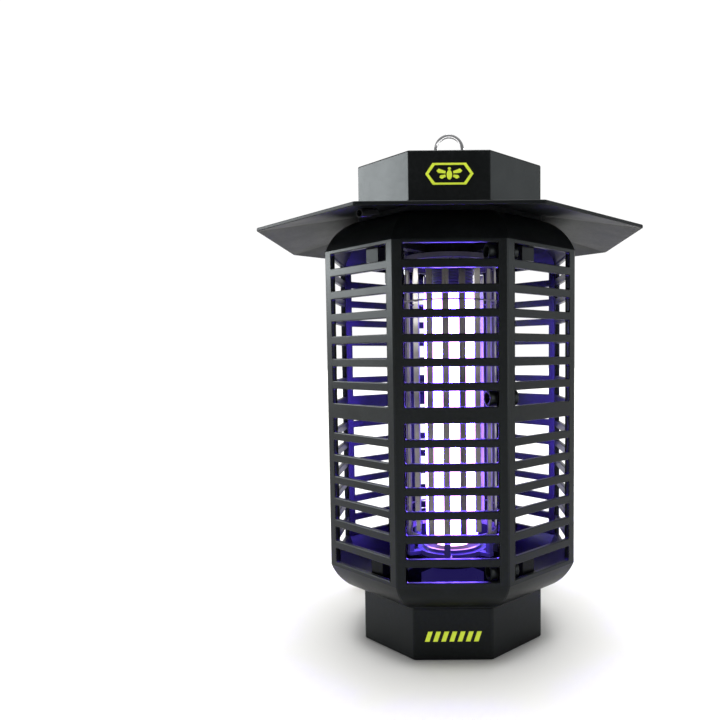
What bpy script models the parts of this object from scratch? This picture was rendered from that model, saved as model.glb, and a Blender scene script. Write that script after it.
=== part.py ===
"""Electric bug zapper: an octagonal lantern cage around a UV lamp and its killing grid.

Frame: the origin is on the floor under the lamp's axis, +Z is up, and the emblem faces -Y.
Lengths are in metres and angles in degrees.
"""
import math

import bmesh
import bpy
from mathutils import Matrix, Vector

# ---------------------------------------------------------------- driving dimensions
GAP = 0.0003                    # clearance between neighbouring pieces
CORNER = 22.5                   # angle of the first corner of every octagon
SIDE_ANGLE = 45.0
ROUND_STEPS = 32                # points on each lofted section, a multiple of eight

BODY_RADIUS = 0.090             # circumradius of the cage
NECK_RADIUS = 0.0670            # circumradius where each shoulder ends
WALL = 0.0030
CAGE_LOW = 0.0556               # the upright panels run from here
CAGE_HIGH = 0.2668              # to here
SHELL_LOW = 0.0344
SHELL_HIGH = 0.2910
SHOULDER_BULGE = 0.0038         # how far each shoulder arc stands off its chord
SHOULDER_STEPS = 5
LIP_OUTER_LOW = 0.0010          # height of the upright lip at the cage's mouth, outside
LIP_INNER_LOW = 0.0038          # and inside
LIP_OUTER_HIGH = 0.0030         # and of the lip under the brim, outside
LIP_INNER_HIGH = 0.0058         # and inside

SLOT_HEIGHT = 0.0096
SLOT_PITCH = 0.01475
SLOTS_PER_GROUP = 7
UPPER_GROUP_TOP = 0.2647
LOWER_GROUP_TOP = 0.1566
POST_SHARE = 0.0834             # width of each post as a share of its panel

SEAM_NORMAL = 22.5              # the cage splits on the upright plane with this normal
BOSS_RADIUS = 0.0050
BOSS_LENGTH = 0.0097
BOSS_REACH = 0.0803             # distance of the bosses from the lamp's axis
BOSS_ROWS = (0, 6, 13)          # slots that hold a screw boss
HEAD_POCKET_RADIUS = 0.0034
HEAD_SEAT = 0.0035              # plastic left between a screw head and the seam
PILOT_RADIUS = 0.0017
PILOT_OVERRUN = 0.0010          # bores start this far outside the plastic they enter
BLIND_PILOT = 0.0078            # depth of the screw bores in the right half
HEAD_POCKET_DEPTH = 0.0120

SCREW_HEAD_RADIUS = 0.0028
SCREW_HEAD_HEIGHT = 0.0020
SCREW_SHANK_RADIUS = 0.0014
SCREW_SHANK_LENGTH = 0.0105

BRIM_RADIUS = 0.1337
BRIM_EDGE_LOW = 0.2777
BRIM_EDGE_HIGH = 0.2799
DECK_LOW = SHELL_HIGH + GAP
DECK_HIGH = 0.2937
DECK_HOLE = 0.0100              # radius of the hole in the middle of the deck
DECK_WIRE_HOLE_Y = 0.0430
DECK_WIRE_HOLE_RADIUS = 0.0046
STANDOFF_REACH = 0.0300
STANDOFF_RADIUS = 0.0030
STANDOFF_HEIGHT = 0.0055

CAP_RADIUS = 0.0665
CAP_LOW = DECK_HIGH + GAP
CAP_HIGH = 0.3248
CAP_WALL = 0.0026
CAP_EDGE = 0.0008               # bevel around the top of the cap
CAP_POST_OFFSET = 0.0350        # the four screw posts stand at plus and minus this
CAP_POST_RADIUS = 0.0038
CAP_PILOT_DEPTH = 0.0120
STUD_HOLE_RADIUS = 0.0024

EYE_HOLE_Z = 0.3335             # centre of the hanger ring's wire in the eye
EYE_HOLE_RADIUS = 0.0024
EYE_THICKNESS = 0.0030
EYE_WIDTH = 0.0100
STUD_RADIUS = 0.0020
STUD_LOW = 0.3150
NUT_BORE = 0.0023
NUT_RADIUS = 0.0040
NUT_HEIGHT = 0.0030
RING_MEAN_RADIUS = 0.0094
RING_WIRE_RADIUS = 0.0013

TRAY_RADIUS = 0.0668
TRAY_HIGH = SHELL_LOW - GAP
TRAY_WALL = 0.0024
TRAY_FLOOR = 0.0026
SPIGOT_OUTER = 0.0575
SPIGOT_INNER = 0.0555
SPIGOT_HIGH = 0.0405
SPIGOT_LIP = 0.0026

LAMP_RADIUS = 0.0190
LAMP_LOW = 0.0608
LAMP_HIGH = 0.2460
LAMP_ROUNDING = 0.0085
LAMP_COLLAR_RADIUS = 0.0165
LAMP_PIN_RADIUS = 0.0120
SOCKET_RADIUS = 0.0177
SOCKET_LOW = 0.2583
SOCKET_HIGH = 0.2880
SOCKET_FLOOR = 0.2735
PIN_BASE_HIGH = 0.2700
PIN_TIP_RADIUS = 0.0085
PIN_TIP_HIGH = 0.2720

FLANGE_RADIUS = 0.0330
FLANGE_LOW = 0.2635
FLANGE_HIGH = 0.2670
INSULATOR_NECK = 0.0250
INSULATOR_BORE = 0.0180
FOOT_RADIUS = 0.0253
FOOT_LOW = 0.0553
FOOT_HIGH = 0.0585
FOOT_CUP_OUTER = 0.0215
FOOT_CUP_INNER = 0.0195
FOOT_CUP_HIGH = 0.0606
PEDESTAL_RADIUS = 0.0230
PEDESTAL_LOW = 0.0295
FINGER_REACH = 0.0342
FINGER_HIGH = 0.0684
FINGER_WIDTH = 0.0050
FINGER_COUNT = 6

ARM_ANGLES = (52.5, 127.5, 232.5, 307.5)
ARM_WIDTH = 0.0080
ARM_REACH = 0.0740
RISER_INNER = 0.0660
RISER_REACH = 0.0730
PAD_INNER = 0.0680
PAD_REACH = 0.0798
PAD_WIDTH = 0.0100
HUB_CLEARANCE = 0.0003
HUB_WIDTH = 0.0048
UPPER_HUB_HIGH = 0.2730
UPPER_PAD = (0.2560, 0.2650)    # bottom and top of the pads
LOWER_HUB_LOW = 0.0492
LOWER_PAD = (0.0574, 0.0664)

GRID_RADIUS = 0.0324
STRIP_WIDTH = 0.0045
STRIP_THICKNESS = 0.0009
STRIP_SPACING = 20.0
STRIP_PHASE = 264.0
STRIPS_PER_COMB = 9
COMB_RING_HEIGHT = 0.0040
LIVE_RING_TOP = FLANGE_LOW - GAP
LIVE_STRIP_LOW = 0.0749
RETURN_RING_LOW = FINGER_HIGH + GAP
RETURN_STRIP_HIGH = 0.2570
HOOP_LEVELS = (0.2355, 0.0867)
HOOP_WIRE_RADIUS = 0.0006
COMB_RING_THICKNESS = 0.0012
LEAD_RADIUS = 0.0009
LEAD_INSET = 0.0012             # the leads run this far inside the grid's radius
LIVE_LEAD_ANGLE = STRIP_PHASE + 4 * STRIP_SPACING
RETURN_LEAD_ANGLE = STRIP_PHASE + 15 * STRIP_SPACING

BOARD_RADIUS = 0.0400
BOARD_LOW = DECK_HIGH + 0.0058
BOARD_THICKNESS = 0.0016

CORD_RADIUS = 0.0030
GLAND_TILT = 12.0               # the strain relief slopes down, parallel to the brim
GLAND_START = Vector((0.0, 0.0720, 0.2770))
GLAND_BOSS_RADIUS = 0.0075
GLAND_BOSS_LENGTH = 0.0135
GLAND_BORE = 0.0046
GLAND_OVERRUN = 0.0040          # the cord bore starts and ends this far outside its boss
GLAND_LENGTH = 0.0400
COIL_CENTRE = Vector((0.0460, 0.1060, 0.0))
COIL_PITCH = 0.0061             # from turn to turn, sideways and upwards
COIL_INNER_TURN = 0.0242        # radius of the innermost turn's centreline
COIL_TURNS_ACROSS = 2.809       # turns beside each other in the bottom layer
COIL_TURNS_ON_TOP = 2.0         # and in the top one
COIL_OUTER_TURN = COIL_INNER_TURN + COIL_TURNS_ACROSS * COIL_PITCH
COIL_TOP_TURN = COIL_INNER_TURN + COIL_TURNS_ON_TOP * COIL_PITCH
COIL_INNER = COIL_INNER_TURN - CORD_RADIUS
COIL_OUTER = COIL_OUTER_TURN + CORD_RADIUS
COIL_HEIGHT = 2 * CORD_RADIUS + 2 * COIL_PITCH
PLUG_Y = 0.0800
PLUG_Z = 0.0085
PLUG_NECK_X = -0.0300           # the cord meets the plug here, and the plug points to -X
PLUG_NECK_LENGTH = 0.0140
PLUG_BODY_LENGTH = 0.0250
BLADE_SPACING = 0.0127
BLADE_LENGTH = 0.0165

GUIDE_INNER = Vector((-0.0433, -0.0912, 0.0))
GUIDE_OUTER = Vector((-0.0508, -0.1042, 0.0))
GUIDE_DROP = 0.0031             # the tube's axis hangs this far under the brim
GUIDE_RADIUS = 0.0026
GUIDE_BORE = 0.0017

EMBLEM_THICKNESS = 0.0004
CAP_EMBLEM_Z = 0.3100
CAP_EMBLEM_SIZE = (0.0302, 0.0134)
CAP_EMBLEM_POINT = 0.0046       # length of each pointed end
BASE_EMBLEM_Z = 0.0160
BASE_EMBLEM_SIZE = (0.0372, 0.0068)
BASE_EMBLEM_POINT = 0.0020

# The free stretches of the mains cord, from the strain relief to the coil and on to the plug.
CORD_BEND = 0.0270              # radius of its bend over the drop
FLOOR_BEND = 0.0245             # radius of its bend onto the floor
CORD_DROP_Y = COIL_CENTRE.y + COIL_OUTER_TURN

GRILLE_NAMES = ("right", "back_right", "back", "back_left", "left", "front_left", "front", "front_right")

OCTAGON = "octagon"
CIRCLE = "circle"


# ---------------------------------------------------------------- small helpers
def polar(radius, degrees, z=0.0):
    """Point at a distance and an angle from the lamp's axis."""
    angle = math.radians(degrees)
    return Vector((radius * math.cos(angle), radius * math.sin(angle), z))


def clear_scene():
    for item in list(bpy.data.objects):
        bpy.data.objects.remove(item, do_unlink=True)


def plain_material(name, color, roughness, metallic=0.0):
    """One Principled material."""
    made = bpy.data.materials.new(name)
    made.use_nodes = True
    shader = made.node_tree.nodes["Principled BSDF"]
    shader.inputs["Base Color"].default_value = (*color, 1.0)
    shader.inputs["Roughness"].default_value = roughness
    shader.inputs["Metallic"].default_value = metallic
    made.diffuse_color = (*color, 1.0)
    return made


def finish_mesh(name, shape, finish, origin=None, smooth=True):
    """Turn a bmesh into an object whose origin is at the given point."""
    bmesh.ops.recalc_face_normals(shape, faces=shape.faces)
    if origin is not None:
        bmesh.ops.translate(shape, verts=shape.verts, vec=-origin)
    mesh = bpy.data.meshes.new(name)
    shape.to_mesh(mesh)
    shape.free()
    if smooth:
        mesh.shade_smooth()
        mesh.set_sharp_from_angle(angle=math.radians(30.0))
    made = bpy.data.objects.new(name, mesh)
    bpy.context.collection.objects.link(made)
    if origin is not None:
        made.location = origin
    if finish is not None:
        mesh.materials.append(finish)
    return made


def section(kind, radius, z, steps=ROUND_STEPS):
    """Points of one level, either a circle or an octagon given by its circumradius."""
    points = []
    for step in range(steps):
        turn = 360.0 * step / steps
        reach = radius
        if kind == OCTAGON:
            off_middle = turn % SIDE_ANGLE - SIDE_ANGLE / 2
            reach = radius * math.cos(math.radians(CORNER)) / math.cos(math.radians(off_middle))
        points.append(polar(reach, CORNER + turn, z))
    return points


def loft(shape, levels, closed=False):
    """Skin the levels with quads; an open loft gets a fan of triangles over each end."""
    rings = [[shape.verts.new(point) for point in level] for level in levels]
    pairs = list(zip(rings, rings[1:]))
    if closed:
        pairs.append((rings[-1], rings[0]))
    for lower, upper in pairs:
        for index in range(len(lower)):
            following = (index + 1) % len(lower)
            shape.faces.new((lower[index], lower[following], upper[following], upper[index]))
    if closed:
        return
    for ring in (rings[0], rings[-1]):
        middle = sum((vert.co for vert in ring), Vector()) / len(ring)
        centre = shape.verts.new(middle)
        for index in range(len(ring)):
            shape.faces.new((ring[index], ring[(index + 1) % len(ring)], centre))


def turned(name, profile, finish, closed=False, steps=ROUND_STEPS, place=None, origin=None):
    """Object lofted from (kind, radius, z) levels, moved by an optional matrix."""
    shape = bmesh.new()
    loft(shape, [section(kind, radius, z, steps) for kind, radius, z in profile], closed)
    if place is not None:
        bmesh.ops.transform(shape, matrix=place, verts=shape.verts)
    return finish_mesh(name, shape, finish, origin)


def circles(*pairs):
    """Profile of circular levels from (radius, z) pairs."""
    return [(CIRCLE, radius, z) for radius, z in pairs]


def aim(start, direction):
    """Matrix that carries +Z onto a direction and the origin onto a point."""
    turn = direction.to_track_quat("Z", "Y").to_matrix().to_4x4()
    return Matrix.Translation(start) @ turn


def add_rod(shape, start, end, radius, sides=16):
    along = end - start
    place = aim((start + end) / 2, along)
    bmesh.ops.create_cone(
        shape, cap_ends=True, segments=sides, radius1=radius, radius2=radius,
        depth=along.length, matrix=place,
    )


def add_block(shape, low, high, turn=0.0):
    """Box between two corners, turned about the lamp's axis."""
    size = Vector(high) - Vector(low)
    middle = (Vector(high) + Vector(low)) / 2
    spin = Matrix.Rotation(math.radians(turn), 4, "Z")
    place = spin @ Matrix.Translation(middle) @ Matrix.Diagonal((*size, 1.0))
    bmesh.ops.create_cube(shape, size=1.0, matrix=place)


def combine(target, shape, operation, name):
    """Join a bmesh to an object, or cut it away, with an exact Boolean."""
    tool = finish_mesh(f"{target.name}_{name}", shape, None, smooth=False)
    tool.hide_render = True
    tool.display_type = "WIRE"
    step = target.modifiers.new(name, "BOOLEAN")
    step.solver = "EXACT"
    step.operation = operation
    step.object = tool


def smooth_route(points, spacing):
    """Points at even distances along a Catmull-Rom curve through the given points."""
    padded = [points[0] * 2 - points[1], *points, points[-1] * 2 - points[-2]]
    dense = []
    for before, start, end, after in zip(padded, padded[1:], padded[2:], padded[3:]):
        for step in range(20):
            share = step / 20
            dense.append(
                0.5 * (2 * start + (end - before) * share
                       + (2 * before - 5 * start + 4 * end - after) * share ** 2
                       + (3 * start - before - 3 * end + after) * share ** 3)
            )
    dense.append(points[-1])
    lengths = [0.0]
    for start, end in zip(dense, dense[1:]):
        lengths.append(lengths[-1] + (end - start).length)
    count = max(2, round(lengths[-1] / spacing))
    route = []
    index = 0
    for step in range(count + 1):
        wanted = lengths[-1] * step / count
        while index < len(dense) - 2 and lengths[index + 1] < wanted:
            index += 1
        share = (wanted - lengths[index]) / (lengths[index + 1] - lengths[index])
        route.append(dense[index].lerp(dense[index + 1], share))
    return route


def tube(name, points, radius, finish, spacing, resolution=2):
    """Capped round tube along a smooth curve through the points."""
    route = smooth_route(points, spacing)
    curve = bpy.data.curves.new(name, "CURVE")
    curve.dimensions = "3D"
    curve.bevel_depth = radius
    curve.bevel_resolution = resolution
    curve.use_fill_caps = True
    spline = curve.splines.new("POLY")
    spline.points.add(len(route) - 1)
    for target, point in zip(spline.points, route):
        target.co = (*point, 1.0)
    curve.materials.append(finish)
    made = bpy.data.objects.new(name, curve)
    bpy.context.collection.objects.link(made)
    return made


def screw(name, seat, direction, finish, head=SCREW_HEAD_RADIUS, length=SCREW_SHANK_LENGTH):
    """Pan-head screw whose head rests on the seat and whose shank points along the direction."""
    profile = circles(
        (head * 0.75, -SCREW_HEAD_HEIGHT),
        (head, -SCREW_HEAD_HEIGHT * 0.55),
        (head, 0.0),
        (SCREW_SHANK_RADIUS, 0.0),
        (SCREW_SHANK_RADIUS, length - 0.0015),
        (SCREW_SHANK_RADIUS * 0.4, length),
    )
    return turned(name, profile, finish, steps=8, place=aim(seat, direction), origin=seat)


# ---------------------------------------------------------------- cage
def shoulder_arc(start, end, bulge=SHOULDER_BULGE, steps=SHOULDER_STEPS):
    """Arc of (radius, z) points between two points, bulging away from the chord's middle."""
    chord = Vector((end[0] - start[0], end[1] - start[1]))
    middle = Vector((start[0] + end[0], start[1] + end[1])) / 2
    outward = Vector((chord.y, -chord.x)).normalized()
    arc_radius = (chord.length / 2) ** 2 / (2 * bulge) + bulge / 2
    centre = middle - outward * (arc_radius - bulge)
    half = math.asin(chord.length / 2 / arc_radius)
    points = []
    for step in range(steps + 1):
        angle = -half + 2 * half * step / steps
        spoke = outward * math.cos(angle) + chord.normalized() * math.sin(angle)
        point = centre + spoke * arc_radius
        points.append((point.x, point.y))
    return points


def slot_levels():
    """Bottom and top of every slot, from the highest slot to the lowest."""
    levels = []
    for group_top in (UPPER_GROUP_TOP, LOWER_GROUP_TOP):
        for row in range(SLOTS_PER_GROUP):
            top = group_top - row * SLOT_PITCH
            levels.append((top - SLOT_HEIGHT, top))
    return levels


def inner_radius(radius):
    """Circumradius of the wall's inside where its outside has the given circumradius."""
    return radius - WALL / math.cos(math.radians(CORNER))


def wall_mesh(outer, inner, slotted_rows=()):
    """Closed wall between two grids of points; slotted rows are open in their middle column."""
    shape = bmesh.new()
    skins = [[[shape.verts.new(point) for point in row] for row in grid] for grid in (outer, inner)]
    outside, inside = skins
    rows = len(outside)
    columns = len(outside[0])
    for row in range(rows - 1):
        for column in range(columns - 1):
            cell = ((row, column), (row, column + 1), (row + 1, column + 1), (row + 1, column))
            if row in slotted_rows and column == 1:
                for (row_a, column_a), (row_b, column_b) in zip(cell, cell[1:] + cell[:1]):
                    shape.faces.new((outside[row_a][column_a], outside[row_b][column_b],
                                     inside[row_b][column_b], inside[row_a][column_a]))
                continue
            shape.faces.new([outside[r][c] for r, c in cell])
            shape.faces.new([inside[r][c] for r, c in reversed(cell)])
    for row in (0, rows - 1):
        for column in range(columns - 1):
            shape.faces.new((outside[row][column], outside[row][column + 1],
                             inside[row][column + 1], inside[row][column]))
    for column in (0, columns - 1):
        for row in range(rows - 1):
            shape.faces.new((outside[row][column], outside[row + 1][column],
                             inside[row + 1][column], inside[row][column]))
    return shape


def grille_mesh(side):
    """One upright panel with its slots; its ends are mitred at the octagon's corners."""
    facing = SIDE_ANGLE * (side + 1)
    along = polar(1.0, facing + 90.0)
    share = math.sin(math.radians(CORNER))
    post_edge = (1.0 - 2 * POST_SHARE) * BODY_RADIUS * share
    levels = [CAGE_LOW + GAP / 2, *sorted(z for pair in slot_levels() for z in pair), CAGE_HIGH - GAP / 2]
    grids = []
    for radius in (BODY_RADIUS, inner_radius(BODY_RADIUS)):
        end = radius * share - GAP / 2
        apothem = radius * math.cos(math.radians(CORNER))
        columns = [along * shift for shift in (-end, -post_edge, post_edge, end)]
        grids.append([[polar(apothem, facing, z) + column for column in columns] for z in levels])
    return wall_mesh(*grids, slotted_rows=range(1, len(levels) - 1, 2))


def shoulder_mesh(first_side, outer, inner):
    """Four neighbouring sides of a shoulder from its (radius, z) profiles."""
    grids = []
    for profile in (outer, inner):
        grids.append([[polar(radius, CORNER + SIDE_ANGLE * (first_side + step), z) for step in range(5)]
                      for radius, z in profile])
    return wall_mesh(*grids)


def boss_centres():
    """Centres of the six screw bosses on the seam, front three first."""
    levels = slot_levels()
    centres = []
    for seam_side in (SEAM_NORMAL - 90.0, SEAM_NORMAL + 90.0):
        for row in BOSS_ROWS:
            centres.append(polar(BOSS_REACH, seam_side, sum(levels[row]) / 2))
    return centres


def add_bosses(grille, centres, away):
    """Screw bosses of one half; away is the seam's normal towards that half."""
    bosses = bmesh.new()
    pilots = bmesh.new()
    pockets = bmesh.new()
    has_heads = away.x < 0
    for centre in centres:
        mouth = centre - away * PILOT_OVERRUN
        deep = centre + away * HEAD_POCKET_DEPTH
        add_rod(bosses, centre + away * GAP, centre + away * BOSS_LENGTH, BOSS_RADIUS)
        add_rod(pilots, mouth, deep if has_heads else centre + away * BLIND_PILOT, PILOT_RADIUS, 10)
        add_rod(pockets, centre + away * HEAD_SEAT, deep, HEAD_POCKET_RADIUS, 12)
    combine(grille, bosses, "UNION", "bosses")
    combine(grille, pilots, "DIFFERENCE", "pilots")
    if has_heads:
        combine(grille, pockets, "DIFFERENCE", "pockets")


def add_gland(shoulder):
    """Boss that the strain relief sits in."""
    gland = gland_direction()
    tip = GLAND_START + gland * GLAND_BOSS_LENGTH
    boss = bmesh.new()
    bore = bmesh.new()
    add_rod(boss, GLAND_START, tip, GLAND_BOSS_RADIUS, 20)
    add_rod(bore, GLAND_START - gland * GLAND_OVERRUN, tip + gland * GLAND_OVERRUN, GLAND_BORE, 16)
    combine(shoulder, boss, "UNION", "gland_boss")
    combine(shoulder, bore, "DIFFERENCE", "gland_bore")


def make_shoulders(half, first_side, away, finish):
    """Upper and lower shoulder of one half of the cage."""
    neck = inner_radius(NECK_RADIUS)
    body = inner_radius(BODY_RADIUS)
    low = CAGE_LOW - GAP / 2
    high = CAGE_HIGH + GAP / 2
    lower_outer = [(NECK_RADIUS, SHELL_LOW)]
    lower_outer += shoulder_arc((NECK_RADIUS, SHELL_LOW + LIP_OUTER_LOW), (BODY_RADIUS, low))
    lower_inner = [(neck, SHELL_LOW)]
    lower_inner += shoulder_arc((neck, SHELL_LOW + LIP_INNER_LOW), (body, low))
    upper_outer = shoulder_arc((BODY_RADIUS, high), (NECK_RADIUS, SHELL_HIGH - LIP_OUTER_HIGH))
    upper_outer.append((NECK_RADIUS, SHELL_HIGH))
    upper_inner = shoulder_arc((body, high), (neck, SHELL_HIGH - LIP_INNER_HIGH))
    upper_inner.append((neck, SHELL_HIGH))
    made = []
    for level, outer, inner in (("lower", lower_outer, lower_inner), ("upper", upper_outer, upper_inner)):
        shape = shoulder_mesh(first_side, outer, inner)
        bmesh.ops.translate(shape, verts=shape.verts, vec=away * GAP / 2)
        made.append(finish_mesh(f"shoulder_{level}_{half}", shape, finish))
    return made


def make_cage(black, steel):
    """Two halves that meet on the seam; each is four grilles between two shoulders."""
    grilles = {}
    for side, facing in enumerate(GRILLE_NAMES, start=-1):
        grilles[side] = finish_mesh(f"grille_{facing}", grille_mesh(side), black)
    normal = polar(1.0, SEAM_NORMAL)
    front, back = boss_centres()[:3], boss_centres()[3:]
    add_bosses(grilles[-2 % 8], front, normal)
    add_bosses(grilles[1], back, normal)
    add_bosses(grilles[2], back, -normal)
    add_bosses(grilles[5], front, -normal)
    for index, seat in enumerate(front + back, start=1):
        screw(f"cage_screw_{index}", seat - normal * (HEAD_SEAT + GAP), normal, steel)
    make_shoulders("left", 2, -normal, black)
    add_gland(make_shoulders("right", -2, normal, black)[1])


# ---------------------------------------------------------------- brim, cap and hanger
def cap_post_points(z):
    """Centres of the four screws that hold the cap, at one height."""
    offset = CAP_POST_OFFSET
    return [Vector((x, y, z)) for x in (-offset, offset) for y in (-offset, offset)]


def make_brim(black):
    """Sloping octagonal brim with the deck that carries the electronics."""
    profile = [
        (OCTAGON, BRIM_RADIUS, BRIM_EDGE_LOW),
        (OCTAGON, NECK_RADIUS, DECK_LOW),
        (CIRCLE, DECK_HOLE, DECK_LOW),
        (CIRCLE, DECK_HOLE, DECK_HIGH),
        (OCTAGON, NECK_RADIUS, DECK_HIGH),
        (OCTAGON, BRIM_RADIUS, BRIM_EDGE_HIGH),
    ]
    brim = turned("brim", profile, black, closed=True)
    standoffs = bmesh.new()
    for angle in (0.0, 120.0, 240.0):
        foot = polar(STANDOFF_REACH, angle, DECK_HIGH - 0.0010)
        add_rod(standoffs, foot, foot + Vector((0, 0, STANDOFF_HEIGHT + 0.0010)), STANDOFF_RADIUS, 10)
    combine(brim, standoffs, "UNION", "standoffs")
    holes = bmesh.new()
    below = Vector((0, 0, -0.003))
    above = Vector((0, 0, 0.006))
    for point in cap_post_points(DECK_LOW):
        add_rod(holes, point + below, point + above, PILOT_RADIUS, 10)
    for point in (lead_foot(LIVE_LEAD_ANGLE), lead_foot(RETURN_LEAD_ANGLE)):
        add_rod(holes, point + below, point + above, LEAD_RADIUS * 2, 10)
    wire_hole = Vector((0.0, DECK_WIRE_HOLE_Y, DECK_LOW))
    add_rod(holes, wire_hole + below, wire_hole + above, DECK_WIRE_HOLE_RADIUS, 12)
    combine(brim, holes, "DIFFERENCE", "holes")


def under_brim(point):
    """The point moved to the height of the cord guide's axis below the brim."""
    reach = max(point.dot(polar(1.0, SIDE_ANGLE * side)) for side in range(8))
    apothem_share = math.cos(math.radians(CORNER))
    inner = NECK_RADIUS * apothem_share
    slope = (DECK_LOW - BRIM_EDGE_LOW) / (BRIM_RADIUS * apothem_share - inner)
    return Vector((point.x, point.y, DECK_LOW - slope * (reach - inner) - GUIDE_DROP))


def make_cord_guide(black):
    """Short open tube under the brim that a slack cord is led through."""
    start = under_brim(GUIDE_INNER)
    along = under_brim(GUIDE_OUTER) - start
    profile = circles((GUIDE_BORE, 0.0), (GUIDE_RADIUS, 0.0), (GUIDE_RADIUS, along.length),
                      (GUIDE_BORE, along.length))
    turned("cord_guide", profile, black, closed=True, steps=16, place=aim(start, along), origin=start)


def make_cap(black, steel):
    inner = CAP_RADIUS - CAP_WALL / math.cos(math.radians(CORNER))
    ceiling = CAP_HIGH - CAP_WALL
    profile = [
        (CIRCLE, STUD_HOLE_RADIUS, CAP_HIGH),
        (CIRCLE, STUD_HOLE_RADIUS, ceiling),
        (OCTAGON, inner, ceiling),
        (OCTAGON, inner, CAP_LOW),
        (OCTAGON, CAP_RADIUS, CAP_LOW),
        (OCTAGON, CAP_RADIUS, CAP_HIGH - CAP_EDGE),
        (OCTAGON, CAP_RADIUS - CAP_EDGE, CAP_HIGH),
    ]
    cap = turned("cap", profile, black, closed=True)
    posts = bmesh.new()
    pilots = bmesh.new()
    up = Vector((0, 0, 1))
    for index, foot in enumerate(cap_post_points(CAP_LOW), start=1):
        add_rod(posts, foot, foot + up * (ceiling - CAP_LOW + 0.001), CAP_POST_RADIUS, 12)
        add_rod(pilots, foot - up * PILOT_OVERRUN, foot + up * CAP_PILOT_DEPTH, PILOT_RADIUS, 10)
        seat = Vector((foot.x, foot.y, DECK_LOW - GAP))
        screw(f"cap_screw_{index}", seat, up, steel, length=CAP_PILOT_DEPTH)
    combine(cap, posts, "UNION", "posts")
    combine(cap, pilots, "DIFFERENCE", "pilots")


def make_hanger(steel, chrome):
    """Eye with its stud and nut, and the ring that swings in the eye."""
    shape = bmesh.new()
    outline = []
    half = EYE_WIDTH / 2
    base_z = CAP_HIGH + GAP
    for step in range(13):
        angle = math.pi * step / 12
        outline.append((half * math.cos(angle), EYE_HOLE_Z + half * math.sin(angle)))
    outline += [(-half, base_z), (half, base_z)]
    sides = []
    for x in (-EYE_THICKNESS / 2, EYE_THICKNESS / 2):
        sides.append([shape.verts.new((x, y, z)) for y, z in outline])
    shape.faces.new(sides[0])
    shape.faces.new(sides[1])
    for index in range(len(outline)):
        following = (index + 1) % len(outline)
        shape.faces.new((sides[0][index], sides[0][following], sides[1][following], sides[1][index]))
    eye = finish_mesh("hanger_eye", shape, steel)
    stud = bmesh.new()
    add_rod(stud, Vector((0, 0, STUD_LOW)), Vector((0, 0, base_z + 0.0010)), STUD_RADIUS, 12)
    combine(eye, stud, "UNION", "stud")
    bore = bmesh.new()
    centre = Vector((0, 0, EYE_HOLE_Z))
    add_rod(bore, centre - Vector((0.004, 0, 0)), centre + Vector((0.004, 0, 0)), EYE_HOLE_RADIUS, 16)
    combine(eye, bore, "DIFFERENCE", "bore")
    nut_top = CAP_HIGH - CAP_WALL - GAP
    nut_low = nut_top - NUT_HEIGHT
    nut = circles((NUT_BORE, nut_low), (NUT_RADIUS, nut_low), (NUT_RADIUS, nut_top), (NUT_BORE, nut_top))
    turned("hanger_nut", nut, steel, closed=True, steps=8)
    ring = bmesh.new()
    hinge = Vector((0, 0, EYE_HOLE_Z))
    levels = []
    for step in range(24):
        turn = 2 * math.pi * step / 24
        out = Vector((math.sin(turn), 0, -math.cos(turn)))
        middle = Vector((0, 0, RING_MEAN_RADIUS)) + out * RING_MEAN_RADIUS + hinge
        level = []
        for side in range(8):
            angle = 2 * math.pi * side / 8
            spoke = out * math.cos(angle) + Vector((0, 1, 0)) * math.sin(angle)
            level.append(middle + spoke * RING_WIRE_RADIUS)
        levels.append(level)
    loft(ring, levels, closed=True)
    finish_mesh("hanger_ring", ring, chrome, origin=hinge)


# ---------------------------------------------------------------- tray
def make_tray(black):
    """Octagonal catch tray whose round spigot slides up into the cage's mouth."""
    wall = TRAY_WALL / math.cos(math.radians(CORNER))
    profile = [
        (OCTAGON, TRAY_RADIUS - 0.0010, 0.0),
        (OCTAGON, TRAY_RADIUS, 0.0010),
        (OCTAGON, TRAY_RADIUS, TRAY_HIGH),
        (CIRCLE, SPIGOT_OUTER, TRAY_HIGH),
        (CIRCLE, SPIGOT_OUTER, SPIGOT_HIGH),
        (CIRCLE, SPIGOT_INNER, SPIGOT_HIGH),
        (CIRCLE, SPIGOT_INNER, TRAY_HIGH - SPIGOT_LIP),
        (OCTAGON, TRAY_RADIUS - wall, TRAY_HIGH - SPIGOT_LIP),
        (OCTAGON, TRAY_RADIUS - wall, TRAY_FLOOR),
    ]
    turned("tray", profile, black)


# ---------------------------------------------------------------- lamp and grid
def make_spider(name, hub_radius, hub_low, hub_high, pad_low, pad_high, finish):
    """Hub ring around an insulator with four arms and the pads that bear on the cage."""
    inner = hub_radius + HUB_CLEARANCE
    outer = inner + HUB_WIDTH
    hub = circles((inner, hub_low), (outer, hub_low), (outer, hub_high), (inner, hub_high))
    spider = turned(name, hub, finish, closed=True)
    arms = bmesh.new()
    risers = bmesh.new()
    pads = bmesh.new()
    half = ARM_WIDTH / 2
    pad_half = PAD_WIDTH / 2
    riser_low = min(hub_low, pad_low) + 0.0035
    riser_high = max(hub_high, pad_high) - 0.0035
    for angle in ARM_ANGLES:
        arm_inner = outer - 0.0030
        add_block(arms, (arm_inner, -half, hub_low + 0.0002), (ARM_REACH, half, hub_high - 0.0002), angle)
        riser_half = half + 0.0005
        add_block(risers, (RISER_INNER, -riser_half, riser_low), (RISER_REACH, riser_half, riser_high), angle)
        add_block(pads, (PAD_INNER, -pad_half, pad_low), (PAD_REACH, pad_half, pad_high), angle)
    combine(spider, arms, "UNION", "arms")
    combine(spider, risers, "UNION", "risers")
    combine(spider, pads, "UNION", "pads")


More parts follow.
